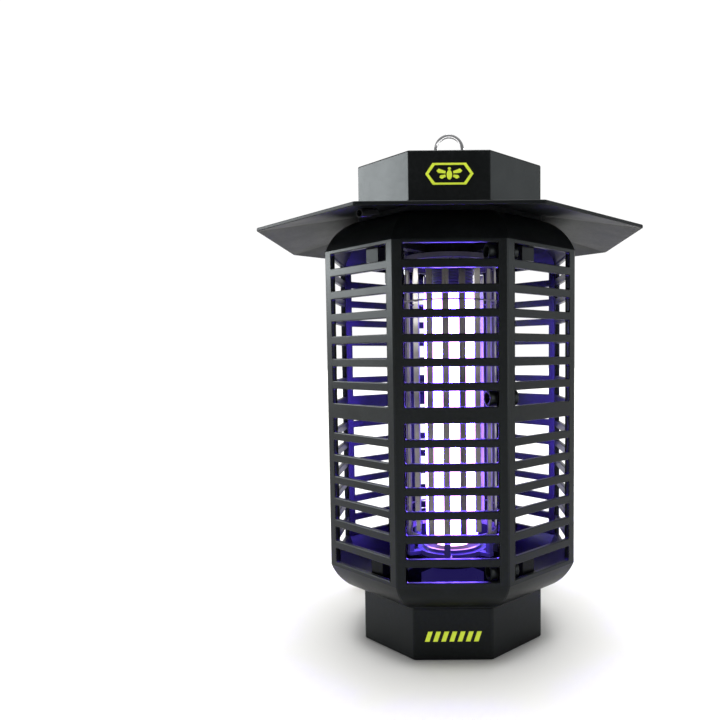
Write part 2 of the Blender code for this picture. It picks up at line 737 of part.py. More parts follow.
def make_insulators(white):
    turned("upper_insulator", circles(
        (INSULATOR_BORE, FLANGE_LOW), (FLANGE_RADIUS, FLANGE_LOW), (FLANGE_RADIUS, FLANGE_HIGH),
        (INSULATOR_NECK, FLANGE_HIGH), (INSULATOR_NECK, DECK_LOW - GAP), (INSULATOR_BORE, DECK_LOW - GAP),
    ), white, closed=True)
    notches = bmesh.new()
    foot = lead_foot(LIVE_LEAD_ANGLE)
    below = Vector((foot.x, foot.y, FLANGE_LOW - 0.0035))
    above = Vector((foot.x, foot.y, FLANGE_HIGH + 0.0030))
    add_rod(notches, below, above, LEAD_RADIUS + 0.0005, 10)
    combine(bpy.data.objects["upper_insulator"], notches, "DIFFERENCE", "lead_hole")
    lower = turned("lower_insulator", circles(
        (PEDESTAL_RADIUS, PEDESTAL_LOW), (PEDESTAL_RADIUS, FOOT_LOW), (FOOT_RADIUS, FOOT_LOW),
        (FOOT_RADIUS, FOOT_HIGH), (FOOT_CUP_OUTER, FOOT_HIGH), (FOOT_CUP_OUTER, FOOT_CUP_HIGH),
        (FOOT_CUP_INNER, FOOT_CUP_HIGH), (FOOT_CUP_INNER, FOOT_HIGH - 0.0010),
    ), white)
    fingers = bmesh.new()
    posts = bmesh.new()
    half = FINGER_WIDTH / 2
    for index in range(FINGER_COUNT):
        angle = STRIP_PHASE + 360.0 * index / FINGER_COUNT
        add_block(fingers, (FOOT_RADIUS - 0.0020, -half, FOOT_LOW + 0.0002),
                  (FINGER_REACH, half, FOOT_HIGH - 0.0002), angle)
        add_block(posts, (FINGER_REACH - 0.0035, -half + 0.0004, FOOT_LOW + 0.0008),
                  (FINGER_REACH - 0.0002, half - 0.0004, FINGER_HIGH), angle)
    combine(lower, fingers, "UNION", "fingers")
    combine(lower, posts, "UNION", "posts")


def make_comb(name, first_strip, ring_low, strip_low, strip_high, steel):
    """One electrode: a ring joined to every second strip of the grid."""
    inner = GRID_RADIUS - COMB_RING_THICKNESS / 2
    outer = GRID_RADIUS + COMB_RING_THICKNESS / 2
    ring_high = ring_low + COMB_RING_HEIGHT
    ring = circles((inner, ring_low), (outer, ring_low), (outer, ring_high), (inner, ring_high))
    comb = turned(name, ring, steel, closed=True)
    strips = bmesh.new()
    half = STRIP_WIDTH / 2
    thick = STRIP_THICKNESS / 2
    for index in range(STRIPS_PER_COMB):
        angle = STRIP_PHASE + STRIP_SPACING * (first_strip + 2 * index)
        low = (GRID_RADIUS - thick, -half, strip_low)
        high = (GRID_RADIUS + thick, half, strip_high)
        add_block(strips, low, high, angle)
    combine(comb, strips, "UNION", "strips")


def make_grid(steel):
    live_low = LIVE_RING_TOP - COMB_RING_HEIGHT
    make_comb("grid_live", 0, live_low, LIVE_STRIP_LOW, LIVE_RING_TOP - 0.0008, steel)
    make_comb("grid_return", 1, RETURN_RING_LOW, RETURN_RING_LOW + 0.0008, RETURN_STRIP_HIGH, steel)
    corner_reach = math.hypot(GRID_RADIUS + STRIP_THICKNESS / 2, STRIP_WIDTH / 2)
    hoop_radius = corner_reach + GAP + HOOP_WIRE_RADIUS * 1.05
    for label, level in zip(("upper", "lower"), HOOP_LEVELS):
        wire = []
        for side in range(6):
            angle = 2 * math.pi * side / 6
            wire.append((CIRCLE, hoop_radius + HOOP_WIRE_RADIUS * math.cos(angle),
                         level + HOOP_WIRE_RADIUS * math.sin(angle)))
        turned(f"grid_hoop_{label}", wire, steel, closed=True, steps=40)


def make_lamp(glass, white, black):
    rounding = []
    for step in range(6):
        angle = math.radians(90.0 * step / 5)
        rounding.append((LAMP_RADIUS - LAMP_ROUNDING + LAMP_ROUNDING * math.sin(angle),
                         LAMP_LOW + LAMP_ROUNDING * (1 - math.cos(angle))))
    turned("lamp_tube", circles(*rounding, (LAMP_RADIUS, LAMP_HIGH - 0.0030),
                                (LAMP_RADIUS - 0.0010, LAMP_HIGH - 0.0008),
                                (LAMP_RADIUS - 0.0035, LAMP_HIGH)), glass)
    turned("lamp_collar", circles(
        (LAMP_COLLAR_RADIUS, LAMP_HIGH + GAP), (LAMP_COLLAR_RADIUS, SOCKET_LOW - GAP),
        (LAMP_PIN_RADIUS, SOCKET_LOW - GAP), (LAMP_PIN_RADIUS, PIN_BASE_HIGH), (PIN_TIP_RADIUS, PIN_TIP_HIGH),
    ), black)
    bore = LAMP_PIN_RADIUS + 0.0004
    turned("lamp_socket", circles(
        (bore, SOCKET_FLOOR), (bore, SOCKET_LOW), (SOCKET_RADIUS, SOCKET_LOW), (SOCKET_RADIUS, SOCKET_HIGH),
    ), white)


# ---------------------------------------------------------------- electronics in the cap
def lead_foot(angle):
    """Where a grid lead passes through the deck."""
    return polar(GRID_RADIUS - LEAD_INSET, angle, DECK_LOW)


def make_electronics(green, ferrite, film, can, steel, copper, black):
    board_top = BOARD_LOW + BOARD_THICKNESS
    board = turned("circuit_board", circles((BOARD_RADIUS, BOARD_LOW), (BOARD_RADIUS, board_top)), green)
    notch = bmesh.new()
    for angle in (LIVE_LEAD_ANGLE, RETURN_LEAD_ANGLE):
        foot = lead_foot(angle)
        add_rod(notch, Vector((foot.x, foot.y, BOARD_LOW - 0.002)),
                Vector((foot.x, foot.y, BOARD_LOW + 0.004)), 0.0016, 10)
    combine(board, notch, "DIFFERENCE", "lead_holes")
    seat = board_top + GAP
    blocks = (
        ("transformer", (-0.0130, -0.0280), (0.0240, 0.0200, 0.0170), ferrite),
        ("film_capacitor", (0.0130, -0.0250), (0.0180, 0.0080, 0.0140), film),
        ("voltage_doubler", (0.0130, -0.0120), (0.0180, 0.0080, 0.0100), film),
        ("terminal_block", (0.0000, 0.0300), (0.0200, 0.0090, 0.0110), black),
    )
    for name, (x, y), (width, depth, height), finish in blocks:
        shape = bmesh.new()
        low = (x - width / 2, y - depth / 2, seat)
        add_block(shape, low, (x + width / 2, y + depth / 2, seat + height))
        finish_mesh(name, shape, finish, origin=Vector((x, y, seat)), smooth=False)
    for name, x, y, radius, height, finish in (
        ("electrolytic_capacitor", -0.0170, 0.0080, 0.0065, 0.0165, can),
        ("ballast_choke", 0.0150, 0.0090, 0.0080, 0.0130, copper),
    ):
        place = Matrix.Translation((x, y, seat))
        turned(name, circles((radius, 0.0), (radius, height)), finish, steps=16, place=place)
    live_top = lead_foot(LIVE_LEAD_ANGLE)
    live_top.z = board_top + 0.0020
    live_end = Vector((live_top.x, live_top.y, LIVE_RING_TOP + GAP))
    tube("lead_live", [live_top, live_top.lerp(live_end, 0.5), live_end], LEAD_RADIUS, steel, 0.010)
    down = RETURN_LEAD_ANGLE
    reach = FLANGE_RADIUS + LEAD_RADIUS + 0.0008
    return_end = GRID_RADIUS + STRIP_THICKNESS / 2 + GAP + LEAD_RADIUS
    tube("lead_return", [
        polar(GRID_RADIUS - LEAD_INSET, down, board_top + 0.0020),
        polar(GRID_RADIUS - LEAD_INSET, down, DECK_LOW - 0.0020),
        polar(reach - 0.0008, down, 0.2790),
        polar(reach, down, 0.2700),
        polar(reach, down, 0.2640),
        polar(reach - 0.0002, down, 0.2590),
        polar(return_end + 0.0003, down, 0.2540),
    ], LEAD_RADIUS, steel, 0.004)


# ---------------------------------------------------------------- mains cord
def gland_direction():
    tilt = math.radians(GLAND_TILT)
    return Vector((0.0, math.cos(tilt), -math.sin(tilt)))


def cord_exit():
    """Centre of the strain relief's tip, where the mains cord leaves it."""
    return GLAND_START + gland_direction() * GLAND_LENGTH


def drop_points():
    """Free stretch of the cord: out of the strain relief, down, and along the floor to the coil."""
    start = cord_exit() + gland_direction() * GAP
    bend = CORD_BEND
    points = [start, start + gland_direction() * 0.008]
    turn_centre = Vector((0.0, CORD_DROP_Y - bend, start.z - 0.0290))
    for degrees in (60.0, 40.0, 20.0, 0.0):
        angle = math.radians(degrees)
        points.append(turn_centre + Vector((0.0, bend * math.cos(angle), bend * math.sin(angle))))
    for z in (0.2000, 0.1600, 0.1200, 0.0800, 0.0500):
        points.append(Vector((0.0, CORD_DROP_Y, z)))
    floor_centre = Vector((FLOOR_BEND, CORD_DROP_Y, CORD_RADIUS + FLOOR_BEND))
    for degrees in (180.0, 207.5, 235.0, 262.5):
        angle = math.radians(degrees)
        points.append(floor_centre + FLOOR_BEND * Vector((math.cos(angle), 0.0, math.sin(angle))))
    points.append(Vector((coil_entry_x(), CORD_DROP_Y, CORD_RADIUS)))
    return points


def coil_entry_x():
    """Where the free drop reaches the outside of the coil's solid."""
    across = COIL_OUTER_TURN - CORD_RADIUS
    return COIL_CENTRE.x - math.sqrt(COIL_OUTER ** 2 - across ** 2) - 2 * GAP


def tail_points():
    """From the top turn of the coil to the plug."""
    across = COIL_TOP_TURN - CORD_RADIUS
    leave_x = COIL_CENTRE.x - math.sqrt(COIL_OUTER ** 2 - across ** 2) - 2 * GAP
    leave = Vector((leave_x, COIL_CENTRE.y - COIL_TOP_TURN, COIL_HEIGHT - CORD_RADIUS))
    return [
        leave,
        leave + Vector((-0.0080, 0.0003, -0.0006)),
        leave + Vector((-0.0180, 0.0024, -0.0022)),
        leave + Vector((-0.0280, 0.0060, -0.0044)),
        Vector((PLUG_NECK_X + 0.0080, PLUG_Y - 0.0007, PLUG_Z + 0.0004)),
        Vector((PLUG_NECK_X, PLUG_Y, PLUG_Z)),
    ]


def make_cord(rubber, brass):
    direction = gland_direction()
    turned("strain_relief", circles(
        (0.0042, -0.0020), (0.0042, GLAND_BOSS_LENGTH + GAP), (0.0068, GLAND_BOSS_LENGTH + GAP),
        (0.0068, GLAND_BOSS_LENGTH + 0.0030), (0.0055, GLAND_BOSS_LENGTH + 0.0045), (0.0040, GLAND_LENGTH),
    ), rubber, steps=16, place=aim(GLAND_START, direction), origin=GLAND_START)
    inside = GLAND_START - direction * (0.0020 + GAP)
    tube("inner_lead", [
        inside,
        inside - direction * 0.0080,
        Vector((0.0, 0.0530, 0.2835)),
        Vector((0.0, 0.0450, 0.2880)),
        Vector((0.0, 0.0430, 0.2940)),
        Vector((0.0, 0.0420, 0.2985)),
    ], CORD_RADIUS, rubber, 0.005)
    tube("mains_cord", drop_points(), CORD_RADIUS, rubber, 0.0075)
    coil = circles((COIL_INNER, 0.0), (COIL_OUTER, 0.0), (COIL_OUTER, COIL_HEIGHT), (COIL_INNER, COIL_HEIGHT))
    turned("mains_cord_coil", coil, rubber, closed=True, place=Matrix.Translation(COIL_CENTRE))
    tube("mains_cord_tail", tail_points(), CORD_RADIUS, rubber, 0.0070)
    make_plug(rubber, brass)


def make_plug(rubber, brass):
    """Two-blade plug lying on the floor, pointing to -X."""
    front = PLUG_NECK_X - GAP - PLUG_NECK_LENGTH - PLUG_BODY_LENGTH
    shape = bmesh.new()
    levels = []
    stations = (
        (0.0, 0.0042, 0.0042),
        (PLUG_NECK_LENGTH, 0.0058, 0.0055),
        (PLUG_NECK_LENGTH + 0.0040, 0.0105, 0.0075),
        (PLUG_NECK_LENGTH + 0.0120, 0.0120, 0.0082),
        (PLUG_NECK_LENGTH + PLUG_BODY_LENGTH - 0.0015, 0.0125, 0.0083),
        (PLUG_NECK_LENGTH + PLUG_BODY_LENGTH, 0.0115, 0.0073),
    )
    for along, half_width, half_height in stations:
        level = []
        for step in range(16):
            angle = 2 * math.pi * step / 16
            across = math.copysign(abs(math.cos(angle)) ** 0.7, math.cos(angle))
            upward = math.copysign(abs(math.sin(angle)) ** 0.7, math.sin(angle))
            level.append(Vector((PLUG_NECK_X - GAP - along, PLUG_Y + half_width * across,
                                 PLUG_Z + half_height * upward)))
        levels.append(level)
    loft(shape, levels)
    finish_mesh("plug_body", shape, rubber, origin=Vector((PLUG_NECK_X, PLUG_Y, PLUG_Z)))
    for index, side in enumerate((-1, 1), start=1):
        blade = bmesh.new()
        y = PLUG_Y + side * BLADE_SPACING / 2
        add_block(blade, (front - GAP - BLADE_LENGTH, y - 0.00075, PLUG_Z - 0.0031),
                  (front - GAP, y + 0.00075, PLUG_Z + 0.0031))
        finish_mesh(f"plug_blade_{index}", blade, brass, origin=Vector((front, y, PLUG_Z)), smooth=False)


# ---------------------------------------------------------------- emblems
def make_emblem(name, face_radius, z, size, point, lime):
    """Thin raised plate with pointed ends on the face that looks to -Y."""
    face = -face_radius * math.cos(math.radians(CORNER)) - GAP
    wide = size[0] / 2
    high = size[1] / 2
    outline = (
        (point - wide, high), (wide - point, high), (wide, 0.0),
        (wide - point, -high), (point - wide, -high), (-wide, 0.0),
    )
    shape = bmesh.new()
    layers = []
    for y in (face, face - EMBLEM_THICKNESS):
        layers.append([shape.verts.new((x, y, z + rise)) for x, rise in outline])
    for layer in layers:
        shape.faces.new(layer)
    for index in range(len(outline)):
        following = (index + 1) % len(outline)
        shape.faces.new((layers[0][index], layers[0][following], layers[1][following], layers[1][index]))
    finish_mesh(name, shape, lime, origin=Vector((0.0, face, z)), smooth=False)


# ---------------------------------------------------------------- the whole zapper
def build():
    clear_scene()
    black = plain_material("black_plastic", (0.016, 0.018, 0.018), 0.42)
    gloss = plain_material("gloss_black_plastic", (0.012, 0.012, 0.014), 0.22)
    white = plain_material("insulator_plastic", (0.62, 0.62, 0.66), 0.45)
    steel = plain_material("satin_steel", (0.55, 0.53, 0.48), 0.35, 1.0)
    screw_steel = plain_material("screw_steel", (0.45, 0.45, 0.46), 0.30, 1.0)
    chrome = plain_material("chrome", (0.75, 0.75, 0.76), 0.12, 1.0)
    brass = plain_material("brass", (0.75, 0.60, 0.32), 0.30, 1.0)
    glass = plain_material("lamp_glass", (0.90, 0.88, 1.00), 0.10)
    rubber = plain_material("cord_rubber", (0.014, 0.014, 0.014), 0.55)
    green = plain_material("board_green", (0.03, 0.22, 0.08), 0.50)
    ferrite = plain_material("ferrite", (0.05, 0.05, 0.05), 0.70)
    film = plain_material("film_red", (0.45, 0.06, 0.04), 0.40)
    can = plain_material("can_blue", (0.03, 0.05, 0.18), 0.35)
    copper = plain_material("copper", (0.72, 0.36, 0.20), 0.35, 1.0)
    lime = plain_material("lime_paint", (0.58, 0.72, 0.04), 0.45)
    make_cage(black, screw_steel)
    make_brim(black)
    make_cord_guide(black)
    make_cap(black, screw_steel)
    make_hanger(screw_steel, chrome)
    make_tray(black)
    make_spider("upper_spider", INSULATOR_NECK, FLANGE_HIGH + GAP, UPPER_HUB_HIGH, *UPPER_PAD, gloss)
    make_spider("lower_spider", PEDESTAL_RADIUS, LOWER_HUB_LOW, FOOT_LOW - GAP, *LOWER_PAD, gloss)
    make_insulators(white)
    make_grid(steel)
    make_lamp(glass, white, gloss)
    make_electronics(green, ferrite, film, can, screw_steel, copper, gloss)
    make_cord(rubber, brass)
    make_emblem("cap_emblem", CAP_RADIUS, CAP_EMBLEM_Z, CAP_EMBLEM_SIZE, CAP_EMBLEM_POINT, lime)
    make_emblem("base_emblem", TRAY_RADIUS, BASE_EMBLEM_Z, BASE_EMBLEM_SIZE, BASE_EMBLEM_POINT, lime)


build()
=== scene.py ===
"""Electric bug zapper: the visual model, its materials, its light and its camera.

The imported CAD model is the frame. Metres, +Z up, the emblem faces -Y.
"""
import math

import bmesh
import bpy
from mathutils import Matrix, Vector


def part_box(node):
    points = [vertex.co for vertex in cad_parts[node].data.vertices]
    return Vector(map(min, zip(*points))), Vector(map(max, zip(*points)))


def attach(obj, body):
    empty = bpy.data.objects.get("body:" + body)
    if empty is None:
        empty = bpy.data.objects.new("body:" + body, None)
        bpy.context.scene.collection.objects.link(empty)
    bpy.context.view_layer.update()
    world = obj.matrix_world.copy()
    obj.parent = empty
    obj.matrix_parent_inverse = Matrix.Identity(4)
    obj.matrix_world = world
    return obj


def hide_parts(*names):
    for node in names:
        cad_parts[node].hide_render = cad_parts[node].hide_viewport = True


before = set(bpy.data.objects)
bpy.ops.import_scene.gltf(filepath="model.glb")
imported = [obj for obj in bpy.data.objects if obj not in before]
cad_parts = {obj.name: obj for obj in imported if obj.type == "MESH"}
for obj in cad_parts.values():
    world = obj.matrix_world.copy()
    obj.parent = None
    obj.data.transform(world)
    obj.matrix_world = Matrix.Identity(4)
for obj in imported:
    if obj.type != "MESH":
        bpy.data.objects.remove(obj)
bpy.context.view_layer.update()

# -------- dimensions shared with the CAD part
GAP = 0.0003
CORNER = 22.5                   # angle of the first corner of every octagon
SIDE_ANGLE = 45.0
ALONG_CORNER = math.cos(math.radians(CORNER))

BODY_RADIUS = 0.0900            # circumradius of the cage
NECK_RADIUS = 0.0670
WALL = 0.0030
CAGE_LOW = 0.0556
CAGE_HIGH = 0.2668
SHELL_LOW = 0.0344
SHELL_HIGH = 0.2910
SHOULDER_BULGE = 0.0038
LIP_OUTER_LOW = 0.0010
LIP_INNER_LOW = 0.0038
LIP_OUTER_HIGH = 0.0030
LIP_INNER_HIGH = 0.0058
SLOT_HEIGHT = 0.0096
SLOT_PITCH = 0.01475
SLOTS_PER_GROUP = 7
SLOT_GROUP_TOPS = (0.2647, 0.1566)
POST_SHARE = 0.0834             # width of each post as a share of its panel

SEAM_NORMAL = 22.5
BOSS_REACH = 0.0803
BOSS_ROWS = (0, 6, 13)
BOSS_RADIUS = 0.0050
BOSS_LENGTH = 0.0097
HEAD_SEAT = 0.0035
HEAD_POCKET_RADIUS = 0.0034
PILOT_RADIUS = 0.0017
PILOT_DEPTH = 0.0078

BRIM_RADIUS = 0.1337
BRIM_EDGE_LOW = 0.2777
BRIM_EDGE_HIGH = 0.2799
DECK_LOW = SHELL_HIGH + GAP
DECK_HIGH = 0.2937
DECK_HOLE = 0.0100
CAP_RADIUS = 0.0665
CAP_LOW = DECK_HIGH + GAP
CAP_HIGH = 0.3248
CAP_WALL = 0.0026
TRAY_RADIUS = 0.0668
TRAY_HIGH = SHELL_LOW - GAP
TRAY_WALL = 0.0024
TRAY_FLOOR = 0.0026
SPIGOT_OUTER = 0.0575
SPIGOT_INNER = 0.0555
SPIGOT_HIGH = 0.0405
SPIGOT_LIP = 0.0026

EYE_HOLE_Z = 0.3335
RING_MEAN_RADIUS = 0.0094
RING_WIRE_RADIUS = 0.0013

CORD_RADIUS = 0.0030
GLAND_START = Vector((0.0, 0.0720, 0.2770))
GLAND_TILT = 12.0
GLAND_BOSS_RADIUS = 0.0075
GLAND_BOSS_LENGTH = 0.0135
GLAND_LENGTH = 0.0400
COIL_CENTRE = Vector((0.0460, 0.1060, 0.0))
COIL_PITCH = 0.0061
COIL_INNER_TURN = 0.0242
COIL_TURNS_ACROSS = 2.809       # how far out the spiral is where the cord enters it
COIL_TURNS_ON_TOP = 2.0
COIL_CLIMB = 110.0              # degrees in which the cord climbs onto the next layer
COIL_OUTER_TURN = COIL_INNER_TURN + COIL_TURNS_ACROSS * COIL_PITCH
COIL_TOP_TURN = COIL_INNER_TURN + COIL_TURNS_ON_TOP * COIL_PITCH
CORD_BEND = 0.0270
FLOOR_BEND = 0.0245
CORD_DROP_Y = COIL_CENTRE.y + COIL_OUTER_TURN
PLUG_Y = 0.0800
PLUG_Z = 0.0085
PLUG_NECK_X = -0.0300

# -------- looks
CORNER_CHAMFER = 0.0013         # width of the flat along each moulded corner
CORNER_MARGIN = 0.0004          # strip of face kept beside it
INNER_CHAMFER = 0.0004          # the same flat on the inside of the cage
INNER_STEP = 0.0004             # the shoulders' inner arcs end this much further along
SLOT_LAND = 0.0010              # plain strip above and below each slot
SLOT_MARGIN = 0.0004            # plain strip at both ends of each slot
SLOT_CORNER = 0.0012            # radius in the corners of the slots
SLOT_EDGE = 0.0005              # rounding around the slots
SEAM_GAP = 0.00006              # the two halves all but touch
ARC_STEPS = 12
LIME = (0.62, 0.74, 0.040)
LAMP_STRENGTH = 80.0            # bright enough to burn out to white, as in the photograph


def linked(made):
    bpy.context.scene.collection.objects.link(made)
    return made


# -------- camera
def make_camera():
    """Camera at the photograph's viewing angle, slightly above the middle and a little rolled."""
    data = bpy.data.cameras.new("camera")
    data.sensor_width = 36.0
    data.lens = 33.499
    data.shift_x = -0.12507
    data.shift_y = 0.0536
    camera = bpy.data.objects.new("camera", data)
    looks_down = Matrix.Rotation(math.radians(90.0 - 3.73), 4, "X")
    rolled = Matrix.Rotation(math.radians(-0.5), 4, "Z")
    camera.matrix_world = Matrix.Translation((-0.0008, -0.4852, 0.1980)) @ looks_down @ rolled
    bpy.context.scene.camera = linked(camera)


# -------- small helpers
def polar(radius, degrees, z=0.0):
    angle = math.radians(degrees)
    return Vector((radius * math.cos(angle), radius * math.sin(angle), z))


def aim(start, direction):
    """Matrix that carries +Z onto a direction and the origin onto a point."""
    return Matrix.Translation(start) @ direction.to_track_quat("Z", "Y").to_matrix().to_4x4()


def ease(share):
    share = min(1.0, max(0.0, share))
    return share * share * (3.0 - 2.0 * share)


def place_piece(made, body, replaced):
    """Link an object, let it ride a body and hide the CAD nodes it stands in for."""
    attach(linked(made), body)
    if replaced:
        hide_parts(*replaced)
    return made


def piece(name, shape, material, body="zapper", replaced=(), slot="black_plastic", sharp=30.0,
          weighted=True):
    """Turn a bmesh into a riding piece with smooth shading and sharp creases."""
    bmesh.ops.recalc_face_normals(shape, faces=shape.faces)
    mesh = bpy.data.meshes.new(name)
    shape.to_mesh(mesh)
    shape.free()
    mesh.shade_smooth()
    mesh.set_sharp_from_angle(angle=math.radians(sharp))
    mesh.materials.append(material)
    made = bpy.data.objects.new(name, mesh)
    if weighted:
        made.modifiers.new("even_normals", "WEIGHTED_NORMAL").keep_sharp = True
    return place_piece(made, body, replaced)


def refined(node, material, rounding):
    """Piece in the shape of a CAD node whose edges are rounded."""
    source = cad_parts[node]
    shape = bmesh.new()
    shape.from_mesh(source.data)
    bmesh.ops.remove_doubles(shape, verts=shape.verts, dist=1e-6)
    bmesh.ops.dissolve_limit(shape, angle_limit=math.radians(1.0), verts=shape.verts, edges=shape.edges)
    mesh = bpy.data.meshes.new(f"{node}_piece")
    shape.to_mesh(mesh)
    shape.free()
    mesh.materials.clear()
    mesh.materials.append(material)
    mesh.shade_smooth()
    made = bpy.data.objects.new(mesh.name, mesh)
    rounded = made.modifiers.new("rounded_edges", "BEVEL")
    rounded.width = rounding
    rounded.segments = 2
    rounded.limit_method = "ANGLE"
    rounded.angle_limit = math.radians(35.0)
    rounded.harden_normals = False
    made.modifiers.new("welded", "WELD").merge_threshold = 1e-6
    made.modifiers.new("even_normals", "WEIGHTED_NORMAL")
    return place_piece(made, "zapper", (node,))


def ring_of(shape, points):
    return [shape.verts.new(point) for point in points]


def skin(shape, rings):
    """Faces between neighbouring rings of vertices; a ring may be a single point."""
    for lower, upper in zip(rings, rings[1:]):
        count = max(len(lower), len(upper))
        for index in range(count):
            following = (index + 1) % count
            if len(lower) == 1:
                shape.faces.new((lower[0], upper[following], upper[index]))
            elif len(upper) == 1:
                shape.faces.new((lower[index], lower[following], upper[0]))
            else:
                shape.faces.new((lower[index], lower[following], upper[following], upper[index]))


def bridge(shape, first, second):
    """Quads between two open runs of vertices."""
    for corners in zip(first, first[1:], second[1:], second):
        shape.faces.new(corners)


def capped_skin(shape, rings):
    skin(shape, rings)
    shape.faces.new(rings[0])
    shape.faces.new(rings[-1])


def circle_points(radius, z, steps):
    return [polar(radius, CORNER + 360.0 * step / steps, z) for step in range(steps)]


def squarish(angle, power):
    """Point on a unit circle that is swollen towards a square, the more so the lower the power."""
    return tuple(math.copysign(abs(share) ** power, share) for share in (math.cos(angle), math.sin(angle)))


def corner_points(circumradius, turn, z, chamfer):
    """Five points around one corner of an octagon, whose tip is cut off by a narrow flat."""
    tip = polar(circumradius, turn, z)
    cut = chamfer / (2 * ALONG_CORNER)
    before = polar(1.0, turn - 112.5)
    after = polar(1.0, turn + 112.5)
    start = tip + before * cut
    end = tip + after * cut
    return [start + before * CORNER_MARGIN, start, (start + end) / 2, end, end + after * CORNER_MARGIN]


def octagon_points(circumradius, z, chamfer=CORNER_CHAMFER):
    """Octagon whose corners are cut off by narrow flats."""
    points = []
    for corner in range(8):
        points += corner_points(circumradius, CORNER + SIDE_ANGLE * corner, z, chamfer)
    return points


def lofted(name, levels, material, closed=False, place=None, **kwargs):
    """Piece through levels of points; a closed one ends where it starts."""
    shape = bmesh.new()
    rings = [ring_of(shape, points) for points in levels]
    skin(shape, rings + rings[:1] if closed else rings)
    if place is not None:
        bmesh.ops.transform(shape, matrix=place, verts=shape.verts)
    return piece(name, shape, material, **kwargs)


def turned(name, profile, material, steps=64, **kwargs):
    """Solid of revolution from (radius, z) pairs; a radius of zero closes an end."""
    levels = []
    for radius, z in profile:
        levels.append(circle_points(radius, z, steps) if radius else [Vector((0.0, 0.0, z))])
    return lofted(name, levels, material, **kwargs)


def poly_curve(name, lines, dimensions, material):
    """Curve of straight runs through each line's points."""
    curve = bpy.data.curves.new(name, "CURVE")
    curve.dimensions = dimensions
    curve.materials.append(material)
    for points in lines:
        spline = curve.splines.new("POLY")
        spline.points.add(len(points) - 1)
        for target, point in zip(spline.points, points):
            target.co = (*point, 1.0)
    return curve


def fillet(before, corner, after, radius, steps=4):
    """Points that round the corner of a profile, by a curve tangent to both sides."""
    corner = Vector(corner)
    start = corner + (Vector(before) - corner).normalized() * radius
    end = corner + (Vector(after) - corner).normalized() * radius
    points = []
    for step in range(steps + 1):
        share = step / steps
        point = start * (1 - share) ** 2 + corner * 2 * share * (1 - share) + end * share ** 2
        points.append((point.x, point.y))
    return points


def rounded_profile(points, radii, closed=True):
    """A profile whose corners are rounded; a radius of zero leaves a corner sharp."""
    made = []
    count = len(points)
    for index, (point, radius) in enumerate(zip(points, radii)):
        if radius == 0.0 or (not closed and index in (0, count - 1)):
            made.append(tuple(point))
            continue
        made += fillet(points[index - 1], point, points[(index + 1) % count], radius)
    return made


# -------- materials
class Wiring:
    """A node tree, with short ways to add its nodes and to join them."""

    def __init__(self, tree, output):
        self.nodes = tree.nodes
        self.links = tree.links
        self.output = tree.nodes[output]
        self.place = tree.nodes.new("ShaderNodeTexCoord")

    def feed(self, node, values):
        """Give each input of a node its number or color, or join it to a socket."""
        for key, value in values.items():
            if isinstance(value, bpy.types.NodeSocket):
                self.links.new(value, node.inputs[key])
            else:
                node.inputs[key].default_value = value
        return node

    def finish(self, values):
        self.feed(self.output, values)

    def noise(self, scale, detail, roughness, place=None):
        made = self.nodes.new("ShaderNodeTexNoise")
        self.feed(made, {"Scale": scale, "Detail": detail, "Roughness": roughness,
                         "Vector": place or self.place.outputs["Object"]})
        return made.outputs["Fac"]

    def ranged(self, source, low, high, from_low=0.3, from_high=0.7):
        """Map a source's range onto another; the range given at first is a noise's usual one."""
        made = self.nodes.new("ShaderNodeMapRange")
        self.feed(made, {"Value": source, "From Min": from_low, "From Max": from_high,
                         "To Min": low, "To Max": high})
        return made.outputs["Result"]

    def mixed(self, factor, first, second):
        made = self.nodes.new("ShaderNodeMix")
        made.data_type = "RGBA"
        self.feed(made, {"Factor": factor, "A": (*first, 1.0), "B": (*second, 1.0)})
        return made.outputs["Result"]

    def maths(self, operation, first, second):
        made = self.nodes.new("ShaderNodeMath")
        made.operation = operation
        self.feed(made, {0: first, 1: second})
        return made.outputs["Value"]

    def component(self, axis, coordinates="Object"):
        split = self.nodes.new("ShaderNodeSeparateXYZ")
        self.feed(split, {"Vector": self.place.outputs[coordinates]})
        return split.outputs[axis]

    def bump(self, height, strength, distance, before=None):
        made = self.nodes.new("ShaderNodeBump")
        self.feed(made, {"Height": height, "Strength": strength, "Distance": distance})
        if before is not None:
            self.feed(made, {"Normal": before})
        return made.outputs["Normal"]


def new_material(name):
    made = bpy.data.materials.new(name)
    made.use_nodes = True
    return made, Wiring(made.node_tree, "Principled BSDF")


def moulded(name, color, second, roughness, grain=2600.0, grain_depth=0.00002, gloss_level=0.5):
    """Moulded plastic: fine grain, uneven gloss, faint dust and handling marks."""
    made, look = new_material(name)
    blotches = look.noise(38.0, 5.0, 0.6)
    specks = look.noise(420.0, 3.0, 0.7)
    fine = look.noise(grain, 2.0, 0.5)
    waves = look.noise(24.0, 1.0, 0.4)
    dust = look.maths("MULTIPLY", look.ranged(blotches, 0.0, 1.0, 0.35, 0.75),
                      look.ranged(specks, 0.0, 1.0, 0.35, 0.75))
    gloss = look.maths("ADD", look.ranged(blotches, roughness - 0.035, roughness + 0.045),
                       look.ranged(specks, -0.02, 0.03))
    sinks = look.bump(waves, 0.25, 0.0003)
    look.finish({"Base Color": look.mixed(dust, color, second), "Roughness": gloss,
                 "Normal": look.bump(fine, 0.5, grain_depth, sinks), "IOR": 1.46,
                 "Specular IOR Level": gloss_level, "Specular Tint": (0.90, 0.99, 1.0, 1.0)})
    return made


